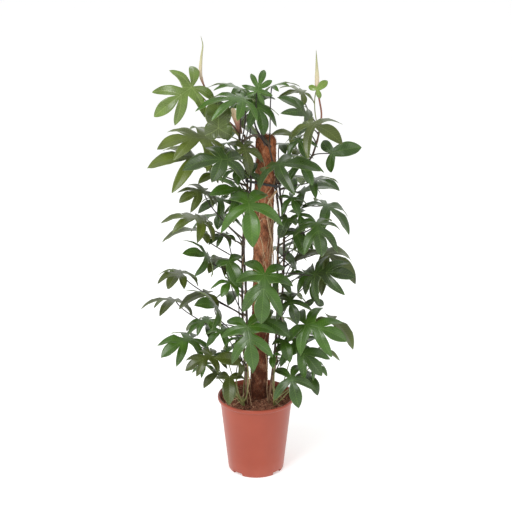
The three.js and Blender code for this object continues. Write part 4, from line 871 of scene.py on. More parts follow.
def leaf_from(row, order):
    """What a leaf is made from. Leaves of one node leave their stem together."""
    name, carrier, z, hub, aim, dip, roll, length, form = row
    start = stem_point(carrier, z / 1000)
    outward = np.zeros(3)
    shared = [other[3] for other in LEAVES if other[0] == name and carrier not in STALKS]
    for other in shared or [hub]:
        away = metres(other) - start
        away[2] = 0
        outward += unit(away)
    return {
        "seed": 1000 + 37 * order, "carrier": carrier, "start": start, "outward": unit(outward),
        "hub": metres(hub), "aim": aim, "dip": dip, "roll": roll, "length": length / 1000, "form": form,
    }


def foliage():
    """Every leaf and leafy shoot, one piece for each node."""
    tones = seeded(77)
    by_node = {}
    for order, row in enumerate(LEAVES):
        by_node.setdefault(row[0], []).append(leaf_from(row, order))
    for name, leaves in by_node.items():
        parts = Parts()
        for leaf in leaves:
            add_leaf(leaf, parts, FRESHNESS.get(name, 0.1 + 0.45 * tones()))
        carrier = leaves[0]["carrier"]
        low = carrier in STALKS
        if low:
            path = evenly(metres([STALKS[carrier]["foot"], STALKS[carrier]["head"]]), 12)
            stalk(parts, path, STEM_RADIUS * (1 - 0.25 * np.linspace(0, 1, 12)), 12, 0.5)
        upper = leaf_upper_olive if name in OLIVE_LEAVES else leaf_upper
        finishes = [upper, leaf_lower, petiole_olive if low else petiole_dark]
        young = name in YOUNG_LEAVES
        obj = parts.object(name + "_fine", young_finishes if young else finishes)
        dress(obj, "young_leaf" if young else "leaf", name)


def small_leaves():
    """Small leaves between the stems, of which the larger ones hide most."""
    tones = seeded(31)
    for order, row in enumerate(SMALL_LEAVES):
        name = f"small_leaf_{order + 1:02d}"
        parts = Parts()
        add_leaf(leaf_from((name, *row), 200 + order), parts, FRESHNESS.get(name, 0.1 + 0.5 * tones()))
        skin = petiole_olive if row[0] in STALKS else petiole_dark
        dress(parts.object(name, [leaf_upper, leaf_lower, skin]), "leaf")
    parts = Parts()
    add_leaf(leaf_from(UNFOLDING, 300), parts, 0.6)
    dress(parts.object("unfolding_leaf", young_finishes), "young_leaf")


# Pot and soil

def wall_radius(z):
    """The radius of the pot's outer wall at a height, under the lip."""
    return FOOT_RADIUS + (RIM_RADIUS - LIP_STEP - FOOT_RADIUS) * z / (POT_HEIGHT - LIP_HEIGHT)


def rounded(outline, radii, steps):
    """An outline with its corners rounded, each by its own radius."""
    outline = [np.array(p, float) for p in outline]
    out = [outline[0]]
    for before, corner, after, radius in zip(outline, outline[1:], outline[2:], radii):
        one = before - corner
        two = after - corner
        cut = min(radius, 0.45 * np.linalg.norm(one), 0.45 * np.linalg.norm(two))
        one = corner + unit(one) * cut
        two = corner + unit(two) * cut
        for s in np.linspace(0, 1, steps):
            out.append((1 - s) ** 2 * one + 2 * s * (1 - s) * corner + s * s * two)
    out.append(outline[-1])
    return np.array(out)


def pot_outline(outer_notch, inner_notch):
    """The pot's outline from its middle underneath to its middle inside, as radius and height."""
    under_lip = POT_HEIGHT - LIP_HEIGHT
    notch_out = wall_radius(NOTCH_HEIGHT)
    low = [(FOOT_RADIUS - 2 * MM, 0), (FOOT_RADIUS, 2 * MM)]
    if outer_notch:
        low = [(notch_out - 0.4 * MM, NOTCH_HEIGHT), (notch_out, NOTCH_HEIGHT + 0.4 * MM)]
    under = [(0, 0), (NOTCH_FROM, 0), (NOTCH_FROM, NOTCH_HEIGHT if outer_notch else 0)] + low
    wall = [(wall_radius(z), z) for z in np.linspace(12 * MM, under_lip - 1 * MM, 16)]
    lip = [(wall_radius(under_lip) + 0.1 * MM, under_lip)]
    lip += [(RIM_RADIUS + out * MM, under_lip + up * MM) for out, up in LIP]
    inside = [(wall_radius(z) - WALL, z) for z in np.linspace(under_lip - 2 * MM, 14 * MM, 10)]
    roof = NOTCH_HEIGHT + NOTCH_ROOF if inner_notch else FLOOR
    middle = NOTCH_FROM - NOTCH_ROOF
    floor = [(wall_radius(roof) - WALL, roof), (middle, roof), (middle, FLOOR), (0, FLOOR)]
    return under + wall + lip + inside + floor


def pot_columns():
    """Angles round the pot, each with whether its outline runs through a notch outside and inside."""
    wide = NOTCH_HALF + NOTCH_MARGIN
    edges = {}
    for turned in NOTCH_TURNED:
        for side in (-1, 1):
            for half in (NOTCH_HALF, wide):
                angle = (math.radians(turned) + side * half) % (2 * np.pi)
                edges[round(angle, 6)] = (side, half)
    columns = []
    for angle in sorted(set(np.round(around(POT_SIDES), 6)) | set(edges)):
        away = min(abs((angle - math.radians(t) + np.pi) % (2 * np.pi) - np.pi) for t in NOTCH_TURNED)
        states = [(away < NOTCH_HALF, away < wide)]
        if angle in edges:
            side, half = edges[angle]
            states = [(False, True), (True, True)] if half == NOTCH_HALF else [(False, False), (False, True)]
            if side > 0:
                states.reverse()
        columns += [(angle, *state) for state in states]
    return columns


def pot():
    """The nursery pot: a tapered wall, a rolled lip, and four notches with drain holes in its foot."""
    points = []
    columns = pot_columns()
    for angle, outer_notch, inner_notch in columns:
        outline = pot_outline(outer_notch, inner_notch)
        points.extend((r * math.cos(angle), r * math.sin(angle), z) for r, z in outline)
    points = np.array(points)
    first, faces = welded(points, grid(len(columns), len(outline), close_rows=True))
    obj = piece("pot_fine", points[first], faces, [pot_plastic])
    drilled(obj, [(FOOT_RADIUS - DRAIN_INSET) * level(math.radians(t)) for t in NOTCH_TURNED])
    obj.data.set_sharp_from_angle(angle=SHARP_OVER)
    dress(obj, "pot_plastic", "pot")


def drilled(obj, places):
    """Cuts the drain holes through the roofs of the notches."""
    parts = Parts()
    for place in places:
        path = place + [[0, 0, NOTCH_HEIGHT + rise * MM] for rise in (-4, 1, 6)]
        parts.add(*tube(path, DRAIN_RADIUS, 24))
    drill = parts.object("drill", [])
    cut = obj.modifiers.new("holes", "BOOLEAN")
    cut.operation = "DIFFERENCE"
    cut.solver = "EXACT"
    cut.object = drill
    done = bpy.data.meshes.new_from_object(obj.evaluated_get(bpy.context.evaluated_depsgraph_get()))
    obj.modifiers.clear()
    obj.data = done
    bpy.data.objects.remove(drill)


def soil_height(x, y):
    """The soil's top, lumpy and a little higher at the middle."""
    x = np.asarray(x) / MM
    y = np.asarray(y) / MM
    outward = np.hypot(x, y) * MM / RIM_RADIUS
    lumps = np.sin(x * .11 + 1.3) * np.cos(y * .13 - .4) + 0.7 * np.sin(x * .23 - y * .19)
    return SOIL_LEVEL + SOIL_MOUND * (1 - outward * outward) + SOIL_LUMPS * lumps


def soil():
    """Coarse dark soil with its lumps, and loose crumbs and bits of bark on top."""
    rings = 46
    turn = around(180)
    draw = np.random.default_rng(5)
    edge = wall_radius(SOIL_LEVEL) - WALL - SOIL_GAP
    radius = edge * np.sqrt(np.linspace(0, 1, rings + 1)[1:])
    x = radius[:, None] * np.cos(turn)
    y = radius[:, None] * np.sin(turn)
    z = soil_height(x, y) + draw.normal(0, SOIL_ROUGH, x.shape)
    z[-1] = soil_height(x[-1], y[-1]) - 1 * MM
    top = np.stack([x, y, z], axis=2).reshape(-1, 3)
    under = wall_radius(SOIL_FOOT) - WALL - SOIL_GAP
    low = np.stack([under * np.cos(turn), under * np.sin(turn), np.full(len(turn), SOIL_FOOT)], axis=1)
    points = np.vstack([top, low, [0, 0, soil_height(0, 0)], [0, 0, SOIL_FOOT]])
    parts = Parts()
    parts.add(points, roll_faces(rings + 1, len(turn)), tone=0.5)
    crumbs(parts, draw, edge)
    dress(parts.object("soil_fine", [soil_earth]), "soil", "soil")


def crumbs(parts, draw, edge):
    """Lumps with eight flat sides that lie on the soil, of which a few are large."""
    shape = np.array([[1, 0, 0], [-1, 0, 0], [0, 1, 0], [0, -1, 0], [0, 0, 1], [0, 0, -1]], float)
    sides = [(0, 2, 4), (2, 1, 4), (1, 3, 4), (3, 0, 4), (2, 0, 5), (1, 2, 5), (3, 1, 5), (0, 3, 5)]
    for _ in range(CRUMBS):
        away = edge * math.sqrt(draw.uniform(0, 0.97))
        at = away * level(draw.uniform(0, 2 * np.pi))
        if np.hypot(at[0] - POLE_FOOT_X - SOIL_LEVEL * POLE_LEAN, at[1]) < POLE_RADIUS:
            continue
        at[2] = soil_height(at[0], at[1]) + 0.3 * MM
        size = draw.uniform(1, 2.6) * MM * (LARGE_CRUMB if draw.uniform() < LARGE_CRUMBS else 1)
        stretch = draw.uniform(0.5, 1.5, 3) * size
        turned = rotation(draw.normal(size=3), draw.uniform(0, 2 * np.pi))
        lump = (shape * stretch * draw.uniform(0.8, 1.2, shape.shape)) @ turned.T + at
        parts.add(lump, sides, tone=draw.uniform())


def rotation(axis, angle):
    """The matrix of a turn about an axis."""
    x, y, z = unit(axis)
    c, s = math.cos(angle), math.sin(angle)
    return np.array([
        [c + x * x * (1 - c), x * y * (1 - c) - z * s, x * z * (1 - c) + y * s],
        [y * x * (1 - c) + z * s, c + y * y * (1 - c), y * z * (1 - c) - x * s],
        [z * x * (1 - c) - y * s, z * y * (1 - c) + x * s, c + z * z * (1 - c)],
    ])


# Pole

def pole_centre(z):
    """The middle of the leaning pole at a height."""
    z = np.asarray(z, float)
    return np.stack([POLE_FOOT_X + z * POLE_LEAN, np.zeros_like(z), z], axis=-1)


def pole_radius(z):
    """The radius of the coir roll's solid at a height."""
    return POLE_RADIUS + z * POLE_SWELL


def coir_swell(z, turn):
    """How far the coir roll bulges at a place on it."""
    along = (z - POLE_FOOT) / (POLE_TOP - POLE_FOOT)
    return (0.9 * np.sin(along * 37 + turn) + 0.7 * np.sin(along * 71 - 3 * turn)) * MM


def coir_dome(z):
    """How far the coir roll narrows towards its ragged top."""
    rise = np.clip((np.asarray(z) - POLE_TOP + COIR_DOME) / COIR_DOME, 0, 1)
    return np.sqrt(1 - DOME_NARROWS * rise ** 2)


def coir_surface(z, turn, depth):
    """How far from the pole's middle the coir lies, at a depth of millimetres under its solid's surface."""
    return pole_radius(z) * coir_dome(z) - depth * MM + coir_swell(z, turn)


def coir_pole():
    """The coir roll, rough and felted, with loose fibres that stand out of it."""
    sides = 72
    draw = np.random.default_rng(11)
    bottom = SOIL_LEVEL - 10 * MM
    z = np.concatenate([np.linspace(POLE_FOOT, bottom, 10)[:-1], np.linspace(bottom, POLE_TOP, 300)])
    rough = draw.normal(0, COIR_ROUGH, (len(z), sides))
    rough = (rough + np.roll(rough, 1, axis=1) + np.roll(rough, 1, axis=0)) * 0.75
    radius = coir_surface(z[:, None], around(sides)[None], 1.9) + rough
    parts = Parts()
    height = np.concatenate([np.repeat(z, sides), [POLE_FOOT, POLE_TOP]])
    parts.add(*tube(pole_centre(z), radius, sides), tone=0.4, height=height)
    fibres(parts, draw)
    dress(parts.object("pole_coir_fine", [coir]), "coir", "pole_coir")


def fibres(parts, draw):
    """Short curved hairs that lie over the coir and stick out of it, most densely at its top."""
    z = draw.uniform(SOIL_LEVEL, POLE_TOP - 1 * MM, FIBRES)
    top = draw.uniform(size=FIBRES) < TOP_FIBRES
    z[top] = POLE_TOP - draw.uniform(0, 1, top.sum()) ** 2 * COIR_DOME
    inset = np.where(top & (z > POLE_TOP - 2 * MM), draw.uniform(0.2, 1, FIBRES), 1)
    turn = draw.uniform(0, 2 * np.pi, FIBRES)
    lean = draw.uniform(0, 2 * np.pi, FIBRES)
    lift = draw.uniform(0.02, 0.5, FIBRES) ** 1.5
    length = draw.uniform(5, 17, FIBRES) * MM
    s = np.array([0, 0.5, 1.0])[:, None]
    for k in range(FIBRES):
        out = level(turn[k])
        along = np.array([-out[1], out[0], 0]) * math.cos(lean[k]) + np.array([0, 0, math.sin(lean[k])])
        foot = pole_centre(z[k]) + out * coir_surface(z[k], turn[k], 2.4) * inset[k]
        arch = lift[k] * 1.6 * s * (1.3 - s) + 0.07 * np.sin(np.pi * s)
        path = foot + along * s * length[k] + out * arch * length[k]
        path[:, 2] = np.minimum(path[:, 2], POLE_TOP + 4 * MM)
        inward = path - pole_centre(path[:, 2])
        inward[:, 2] = 0
        away = np.linalg.norm(inward, axis=1)
        least = (pole_radius(path[:, 2]) * coir_dome(path[:, 2]) - 2 * MM) * inset[k]
        path += inward / away[:, None] * np.maximum(0, least - away)[:, None]
        thin_line(parts, path, FIBRE_RADIUS, tone=draw.uniform(), height=z[k])


def thin_line(parts, path, radius, **values):
    """A hair with three sides that ends in a point."""
    along = unit(path[-1] - path[0])
    side = unit(np.cross(along, [0.3, 0.2, 0.9]))
    other = np.cross(along, side)
    ring = [side, -0.5 * side + 0.87 * other, -0.5 * side - 0.87 * other]
    points = [path[0] + r * radius for r in ring] + [path[1] + 0.8 * r * radius for r in ring] + [path[2]]
    faces = [(0, 1, 4, 3), (1, 2, 5, 4), (2, 0, 3, 5), (3, 4, 6), (4, 5, 6), (5, 3, 6)]
    parts.add(points, faces, **values)


# Stems and crown

def stems():
    """The climbing stems, with a raised ring where each leaf has been."""
    sides = 16
    for key, node in STEM_NODES.items():
        length = np.linalg.norm(np.diff(STEM_PATHS[key], axis=0), axis=1).sum()
        count = int(length / (4 * MM))
        path = smooth_path(metres(STEMS[key]), count)
        s = np.linspace(0, 1, count)
        ring = s * length / INTERNODE
        near = np.abs(ring - np.round(ring)) * INTERNODE
        radius = STEM_RADIUS * (1 - STEM_TAPER * s) * (1 + RING_RISE * np.exp(-(near / RING_HALF) ** 2))
        turn = around(sides)[None]
        ridges = 1 + 0.03 * np.sin(5 * turn + 3 * ring[:, None]) + 0.03 * np.sin(turn * 2 + 9 * s[:, None])
        points, faces = tube(path, radius[:, None] * ridges, sides)
        parts = Parts()
        parts.add(points, faces, along=tube_along(count, sides), height=points[:, 2],
                  ring=np.concatenate([np.repeat(near, sides), [0, 0]]) / INTERNODE)
        dress(parts.object(node + "_fine", [stem_bark]), "stem", node)


def spear(name, points, stalk_share, stalk_radius, roll_radius, twist):
    """A new leaf, still rolled up, on its stalk."""
    count = 90
    sides = 20
    thin = stalk_radius * MM
    thick = roll_radius * MM
    s = np.linspace(0, 1, count)
    x = np.clip((s - stalk_share) / (1 - stalk_share), 0, 1)
    ramp = eased(x * 6)
    narrow = np.clip(x - ROLL_NARROWS, 0, 1) / (1 - ROLL_NARROWS)
    radius = thin + (thick - thin) * ramp - (thick - ROLL_TIP) * narrow
    wound = (np.linspace(0, 1, sides, endpoint=False)[None] + twist * s[:, None]) % 1
    scroll = 1 + ROLL_STEP * ramp[:, None] * (wound - 0.5)
    parts = Parts()
    parts.tube(smooth_path(metres(points), count), radius[:, None] * scroll, sides,
               along=np.concatenate([np.repeat(x, sides), [0, 1]]),
               tone=np.concatenate([wound.reshape(-1), [0.5, 0.5]]))
    dress(parts.object(name + "_fine", [spear_leaf]), "rolled_leaf", name)


def spears():
    """The two rolled leaves, each on its stalk."""
    for name, shape in SPEARS.items():
        spear(name, *shape)


def sheath():
    """The dry sheath of an older leaf, curved round the top of its stem."""
    rows = 29
    across = 17
    foot = np.array([-.044, -.0412, 1.076])
    lean = np.array([-.02, -.04, .082])
    s = np.linspace(0, 1, rows)[:, None]
    x = np.linspace(-1, 1, across)[None]
    end = np.clip((s - 0.8) / 0.2, 0, 1)
    half = (5.5 + 9 * s) * (1 - 0.45 * end) * MM
    ripple = 0.5 * MM * np.sin(9 * s + 5 * x) * np.abs(x)
    px = foot[0] + lean[0] * s + x * half
    py = foot[1] + lean[1] * s + 7 * MM * x * x + ripple
    pz = foot[2] + lean[2] * s - 9 * MM * x * x * end
    front = np.stack([px, py, pz], axis=2).reshape(-1, 3)
    back = front - np.array([0, SHEATH_THICKNESS, 0])
    layer = rows * across
    last = layer - across
    faces = grid(rows, across)
    border = [(j, j + 1) for j in range(across - 1)]
    border += [(last + j + 1, last + j) for j in range(across - 1)]
    border += [(i + across - 1, i + 2 * across - 1) for i in range(0, last, across)]
    border += [(i + across, i) for i in range(0, last, across)]
    rim = [(a, b, layer + b, layer + a) for a, b in border]
    parts = Parts()
    parts.add(np.vstack([front, back]), faces + flipped(faces, layer) + rim,
              along=np.tile(np.repeat(s[:, 0], across), 2), tone=np.tile(x[0], 2 * rows))
    dress(parts.object("crown_sheath_fine", [dry_sheath]), "dry_sheath", "crown_sheath")


def wavy(points, count, radius, seed, wobble):
    """A root's path with small bends, and its uneven radius. Radius and wobble are in millimetres."""
    draw = np.random.default_rng(seed)
    drift = np.cumsum(draw.normal(0, wobble * MM * 0.35, (count, 3)), axis=0)
    s = np.linspace(0, 1, count)
    drift -= s[:, None] * drift[-1]
    thick = radius * MM * (1 - ROOT_TAPER * s) * (1 + ROOT_UNEVEN * draw.normal(size=count))
    return smooth_path(points, count) + drift, thick


def aerial_root():
    """The thickest aerial root, from the right front stem down the coir."""
    parts = Parts()
    parts.tube(*wavy(metres(ROOT_PATH), 70, 3.2, 3, 0.4), 12, tone=0.4)
    dress(parts.object("aerial_root_fine", [root_tan]), "root", "aerial_root")


def thin_roots():
    """Thin pale roots on the coir and at the feet of the stems."""
    draw = np.random.default_rng(23)
    paths = [(radius, metres(points)) for radius, points in FREE_ROOTS]
    for radius, places in COIR_ROOTS:
        paths.append((radius, [on_coir(z / 1000, -math.acos(right), radius) for z, right in places]))
    paths += [root_down_coir(draw) for _ in range(CHANCE_ROOTS)]
    for key in STEMS:
        paths += [root_by_stem(key, z, draw) for z in np.arange(ROOTS_FROM, STEM_ROOTS_TO, STEM_ROOTS_EVERY)]
    parts = Parts()
    for number, (radius, points) in enumerate(paths):
        parts.tube(*wavy(points, 40, radius, 40 + number, 0.5), 8, tone=draw.uniform())
    dress(parts.object("thin_roots", [root_tan]), "root")


def root_down_coir(draw):
    """A root that wanders down the coir from a place left to chance: its radius and points."""
    z = draw.uniform(ROOTS_FROM, COIR_ROOTS_TO)
    turn = draw.uniform(-0.2, 1.2) * np.pi
    path = []
    for _ in range(6):
        path.append(on_coir(z, turn, 1))
        z -= draw.uniform(8, 26) * MM
        turn += draw.normal(0, 0.28)
    return draw.uniform(0.7, 1.5), path


def root_by_stem(key, z, draw):
    """A root that leaves a stem at a height and hangs beside it: its radius and points."""
    turn = draw.uniform(0, 2 * np.pi)
    drop = draw.uniform(5, 13) * MM
    path = []
    for step in range(5):
        away = (2.5 + 1.1 * step + draw.uniform(0, 1.5)) * MM
        path.append(stem_point(key, z - step * drop) + level(turn) * away)
        turn += draw.normal(0, 0.35)
    return draw.uniform(0.45, 1.0), path


def crown_roots():
    """The thick grey roots that arch over the top of the coir."""
    parts = Parts()
    for number, (radius, points) in enumerate(ARCHED_ROOTS):
        parts.tube(*wavy(metres(points), 60, radius, 90 + number, 0.4), 12, tone=0.5)
    dress(parts.object("crown_roots", [root_grey]), "root")


def crown_stalk():
    """The swollen foot of the middle crown leaf's stalk, which crosses the front of the coir."""
    count = 60
    sides = 14
    radius = (2.0 + 3.2 * np.linspace(0, 1, count) ** 2.5) * MM
    parts = Parts()
    parts.tube(smooth_path(metres(CROWN_STALK), count), radius, sides, tone=0.5,
               along=1 - 0.3 * tube_along(count, sides))
    dress(parts.object("crown_stalk", [petiole_dark]), "leaf")


def on_coir(z, turn, radius):
    """A point on the coir at a height and an angle round it, for a root of a radius in millimetres."""
    away = pole_radius(z) - 1.6 * MM + 0.6 * radius * MM
    return pole_centre(z) + level(turn) * away


def coir_net():
    """The thin crossing strands that hold the coir on the pole."""
    parts = Parts()
    z = np.linspace(SOIL_LEVEL, POLE_TOP - 2 * MM, 260)
    for way in (-1, 1):
        for strand in range(NET_STRANDS):
            turn = way * (z * NET_SLOPE + strand * 2 * np.pi / NET_STRANDS)
            away = coir_surface(z, turn, 1.5)
            path = pole_centre(z) + np.stack([np.cos(turn) * away, np.sin(turn) * away, 0 * z], axis=1)
            parts.add(*tube(path, NET_RADIUS, 5))
    dress(parts.object("coir_net", [net_cord]), "coir")


def hull(points):
    """The outline round a set of points."""
    points = sorted(map(tuple, points))

    def half(row):
        chain = []
        for p in row:
            while len(chain) > 1:
                a, b = chain[-2], chain[-1]
                if (b[0] - a[0]) * (p[1] - a[1]) - (b[1] - a[1]) * (p[0] - a[0]) > 0:
                    break
                chain.pop()
            chain.append(p)
        return chain[:-1]
    return np.array(half(points) + half(points[::-1]))


def tie():
    """The dark band that holds the stems to the pole."""
    centre = pole_centre(TIE["z"])[:2]
    turn = np.radians(np.arange(0, 360, 6))
    circle = np.stack([np.cos(turn), np.sin(turn)], axis=1)
    rings = [centre + circle * (pole_radius(TIE["z"]) + TIE["clear"])]
    for key in STEMS:
        for rise in (-2, -1, 0, 1, 2):
            middle = stem_point(key, TIE["z"] + rise * TIE["height"])[:2]
            rings.append(middle + circle * (1.1 * STEM_RADIUS + TIE["clear"]))
    outline = hull(np.vstack(rings))
    outline = np.vstack([outline, outline[:1]])
    outline = evenly(np.column_stack([outline, np.zeros(len(outline))]), TIE_POINTS + 1)[:-1, :2]
    out = outline - centre
    out /= np.linalg.norm(out, axis=1)[:, None]
    section = rounded([(0, -.5), (1, -.5), (1, .5), (0, .5), (0, -.5), (1, -.5)], [.3, .3, .3, .3], 3)[1:-1]
    points = []
    for p, o in zip(outline, out):
        for across, up in section:
            x, y = p + o * across * TIE["thickness"]
            points.append((x, y, TIE["z"] + up * TIE["height"] - (x - centre[0]) * TIE["slope"]))
    faces = grid(len(outline), len(section), close_rows=True, close_across=True)
    dress(piece("tie_fine", points, faces, [strap]), "strap", "tie")


def stake():
    """The stake keeps its solid's own mesh inside the coir, and only gets a finish."""
    mesh = bpy.data.objects["pole_stake"].data
    mesh.materials.clear()
    mesh.materials.append(stake_wood)


# Surroundings

def surroundings():
    """A plain pale floor, soft studio light and the camera."""
    corners = [(x * FLOOR_HALF, y * FLOOR_HALF, 0) for x, y in ((-1, -1), (1, -1), (1, 1), (-1, 1))]
    floor = piece("studio_floor", corners, [(0, 1, 2, 3)], [studio_white])
    bpy.context.scene.world = studio_world()
    for light in LIGHTS:
        softbox(*light)
    camera = bpy.data.objects.new("camera", bpy.data.cameras.new("camera"))
    camera.location = CAMERA_AT
    camera.rotation_euler = (math.radians(90 - CAMERA_DOWN), 0, 0)
    camera.data.lens = CAMERA_LENS
    camera.data.sensor_width = CAMERA_SENSOR
    camera.data.clip_end = CAMERA_SEES
    bpy.context.scene.collection.objects.link(camera)
    bpy.context.scene.camera = camera
    bpy.context.scene.view_settings.view_transform = "Standard"


def studio_world():
    """Plain white light all round, strongest low down, so that the floor ends in no edge."""
    world = bpy.data.worlds.new("studio")
    world.use_nodes = True
    nodes = world.node_tree.nodes
    links = world.node_tree.links
    rise = nodes.new("ShaderNodeSeparateXYZ")
    links.new(nodes.new("ShaderNodeTexCoord").outputs["Generated"], rise.inputs["Vector"])
    strength = nodes.new("ShaderNodeMapRange")
    ends = {"From Min": HORIZON, "From Max": HORIZON * 3, "To Min": HORIZON_LIGHT, "To Max": WORLD_LIGHT}
    for key, value in ends.items():
        strength.inputs[key].default_value = value
    links.new(rise.outputs["Z"], strength.inputs["Value"])
    background = nodes["Background"]
    background.inputs["Color"].default_value = (1, 1, 1, 1)
    links.new(strength.outputs["Result"], background.inputs["Strength"])
    return world


def softbox(name, at, towards, size, power):
    """A square soft light at a place, turned towards another."""
    light = bpy.data.lights.new(name, "AREA")
    light.size = size
    light.energy = power
    obj = bpy.data.objects.new(name, light)
    obj.location = at
    direction = unit(np.array(towards) - np.array(at))
    obj.rotation_euler = (math.acos(-direction[2]), 0, math.atan2(-direction[0], direction[1]))
    bpy.context.scene.collection.objects.link(obj)


# Finishes

class Finish:
    """A material built from nodes round one principled shader."""

    def __init__(self, name, specular, **sockets):
        self.material = bpy.data.materials.new(name)
        self.material.use_nodes = True
        self.tree = self.material.node_tree
        self.shader = self.tree.nodes["Principled BSDF"]
        self.shader.inputs["Specular IOR Level"].default_value = specular
        for key, value in sockets.items():
            self.shader.inputs[key.replace("_", " ")].default_value = value

    def node(self, kind, inputs=None, **settings):
        """A node with its settings. Its inputs are values or other nodes' outputs."""
        made = self.tree.nodes.new("ShaderNode" + kind)
        for key, value in settings.items():
            setattr(made, key, value)
        for key, value in (inputs or {}).items():
            self.feed(made.inputs[key], value)
        return made

    def feed(self, socket, value):
        """Gives a socket a value or another node's output."""
        if isinstance(value, bpy.types.NodeSocket):
            self.tree.links.new(value, socket)
        else:
            socket.default_value = value

    def put(self, socket, value):
        """Gives the shader a value that changes over the surface."""
        self.tree.links.new(value, self.shader.inputs[socket])

    def value(self, name):
        """A named value at the mesh's points."""
        return self.node("Attribute", attribute_name=name).outputs["Fac"]

    def vector(self, name):
        """A named vector at the mesh's points."""
        return self.node("Attribute", attribute_name=name).outputs["Vector"]

    def place(self):
        """Where a point lies in its object."""
        return self.node("TexCoord").outputs["Object"]

    def noise(self, scale, detail, rough, stretch=None):
        """Noise at the point's place, which can be stretched along the axes."""
        vector = self.place()
        if stretch is not None:
            vector = self.node("Mapping", {"Vector": vector, "Scale": stretch}).outputs["Vector"]
        inputs = {"Vector": vector, "Scale": scale, "Detail": detail, "Roughness": rough}
        return self.node("TexNoise", inputs).outputs["Fac"]

    def math(self, operation, *values):
        """The result of an operation on one or two values."""
        return self.node("Math", dict(enumerate(values)), operation=operation).outputs[0]

    def plus(self, one, two):
        """The sum of two values."""
        return self.math("ADD", one, two)

    def times(self, one, two):
        """The product of two values."""
        return self.math("MULTIPLY", one, two)

    def spread(self, value, low, high, to_low, to_high):
        """A value that runs from one range into another and stays inside it."""
        inputs = {"Value": value, "From Min": low, "From Max": high, "To Min": to_low, "To Max": to_high}
        return self.node("MapRange", inputs).outputs["Result"]

    def varied(self, noise, low, high):
        """Noise as a value between two ends, which it often reaches."""
        return self.spread(noise, NOISE_LOW, NOISE_HIGH, low, high)

    def ramp(self, factor, stops):
        """A colour from stops of a position and red, green and blue as a screen shows them."""
        made = self.node("ValToRGB", {"Fac": factor})
        band = made.color_ramp
        while len(band.elements) < len(stops):
            band.elements.new(0.5)
        for element, (at, *colour) in zip(band.elements, stops):
            element.position = at
            element.color = (*rgb(*colour), 1)
        return made.outputs["Color"]

    def mix(self, factor, one, two):
        """A colour between two, of which each is another node's output or the same all over."""
        made = self.node("Mix", {"Factor": factor}, data_type="RGBA")
        colours = [s for s in made.inputs if s.type == "RGBA"]
        for socket, value in zip(colours, (one, two)):
            self.feed(socket, value)
        return [s for s in made.outputs if s.type == "RGBA"][0]

    def bump(self, height, strength, distance):
        """Bumps of the surface from a height, with their distance in millimetres."""
        inputs = {"Height": height, "Strength": strength, "Distance": distance * MM}
        self.put("Normal", self.node("Bump", inputs).outputs["Normal"])


def rgb(red, green, blue):
    """A colour from values as a screen shows them, 0 to 255."""
    def linear(value):
        value = value / 255
        return value / 12.92 if value < 0.04045 else ((value + 0.055) / 1.055) ** 2.4
    return tuple(linear(value) for value in (red, green, blue))


def rgba(*colour):
    """The same, opaque."""
    return (*rgb(*colour), 1)


def leaf_finish(name, shades, rib, rib_share, roughness, vein_bump, gloss):
    """A blade's face: its shade differs from leaf to leaf, with a pale rib, faint side veins, and a pale
    margin partly painted as an edge highlight.
    """
    finish = Finish(name, gloss)
    split = finish.node("SeparateXYZ", {"Vector": finish.vector("vein")})
    out = finish.math("ABSOLUTE", split.outputs["Y"])
    edge = split.outputs["Z"]
    on_rib = finish.spread(out, 0.3 * MM, 1.0 * MM, 1.0, 0.0)
    slant = finish.math("SUBTRACT", split.outputs["X"], finish.times(out, VEIN_SLANT))
    near = finish.math("PINGPONG", finish.math("DIVIDE", slant, VEIN_SPACING), 0.5)
    fade = finish.spread(edge, 0.55, 0.95, 1.0, 0.0)
    on_vein = finish.times(finish.spread(near, 0.03, 0.11, 1.0, 0.0), fade)
    mottle = finish.noise(38, 4, 0.6)
    cloud = finish.noise(14, 2, 0.5)
    varied = finish.plus(finish.varied(mottle, -0.1, 0.1), finish.varied(cloud, -0.14, 0.14))
    colour = finish.ramp(finish.plus(finish.value("tone"), varied), shades)
    veined = finish.mix(finish.times(on_vein, 0.22), colour, rgba(*rib))
    # A pale margin at the blade's edge: partly the leaf's own colour, partly a painted edge highlight.
    margin_and_edge_highlight = finish.mix(finish.spread(edge, 0.9, 1.0, 0.0, 0.45), veined, rgba(*rib))
    finish.put("Base Color", finish.mix(finish.times(on_rib, rib_share), margin_and_edge_highlight, rgba(*rib)))
    finish.put("Roughness", finish.varied(mottle, roughness - 0.06, roughness + 0.08))
    finish.bump(finish.plus(finish.times(on_vein, -0.5), finish.noise(160, 2, 0.5)), vein_bump, 0.6)
    return finish.material


def plain_finish(name, specular, noise, shades, rough=None, bump=None, **sockets):
    """A finish with one noise, which gives its shades and may also change its roughness and raise bumps."""
    finish = Finish(name, specular, **sockets)
    grain = finish.noise(*noise)
    finish.put("Base Color", finish.ramp(grain, shades))
    if rough:
        finish.put("Roughness", finish.varied(grain, *rough))
    if bump:
        finish.bump(grain, *bump)
    return finish.material


def petiole_finish(name, low, high):
    """A stalk's skin, another shade at its foot, with fine streaks."""
    finish = Finish(name, 0.4)
    streak = finish.noise(90, 3, 0.6)
    at = finish.plus(finish.value("along"), finish.varied(streak, -0.15, 0.15))
    finish.put("Base Color", finish.ramp(at, [(0.0, *low), (0.35, *high), (1.0, *high)]))
    finish.put("Roughness", finish.varied(streak, 0.32, 0.5))
    finish.bump(streak, 0.25, 0.3)
    return finish.material


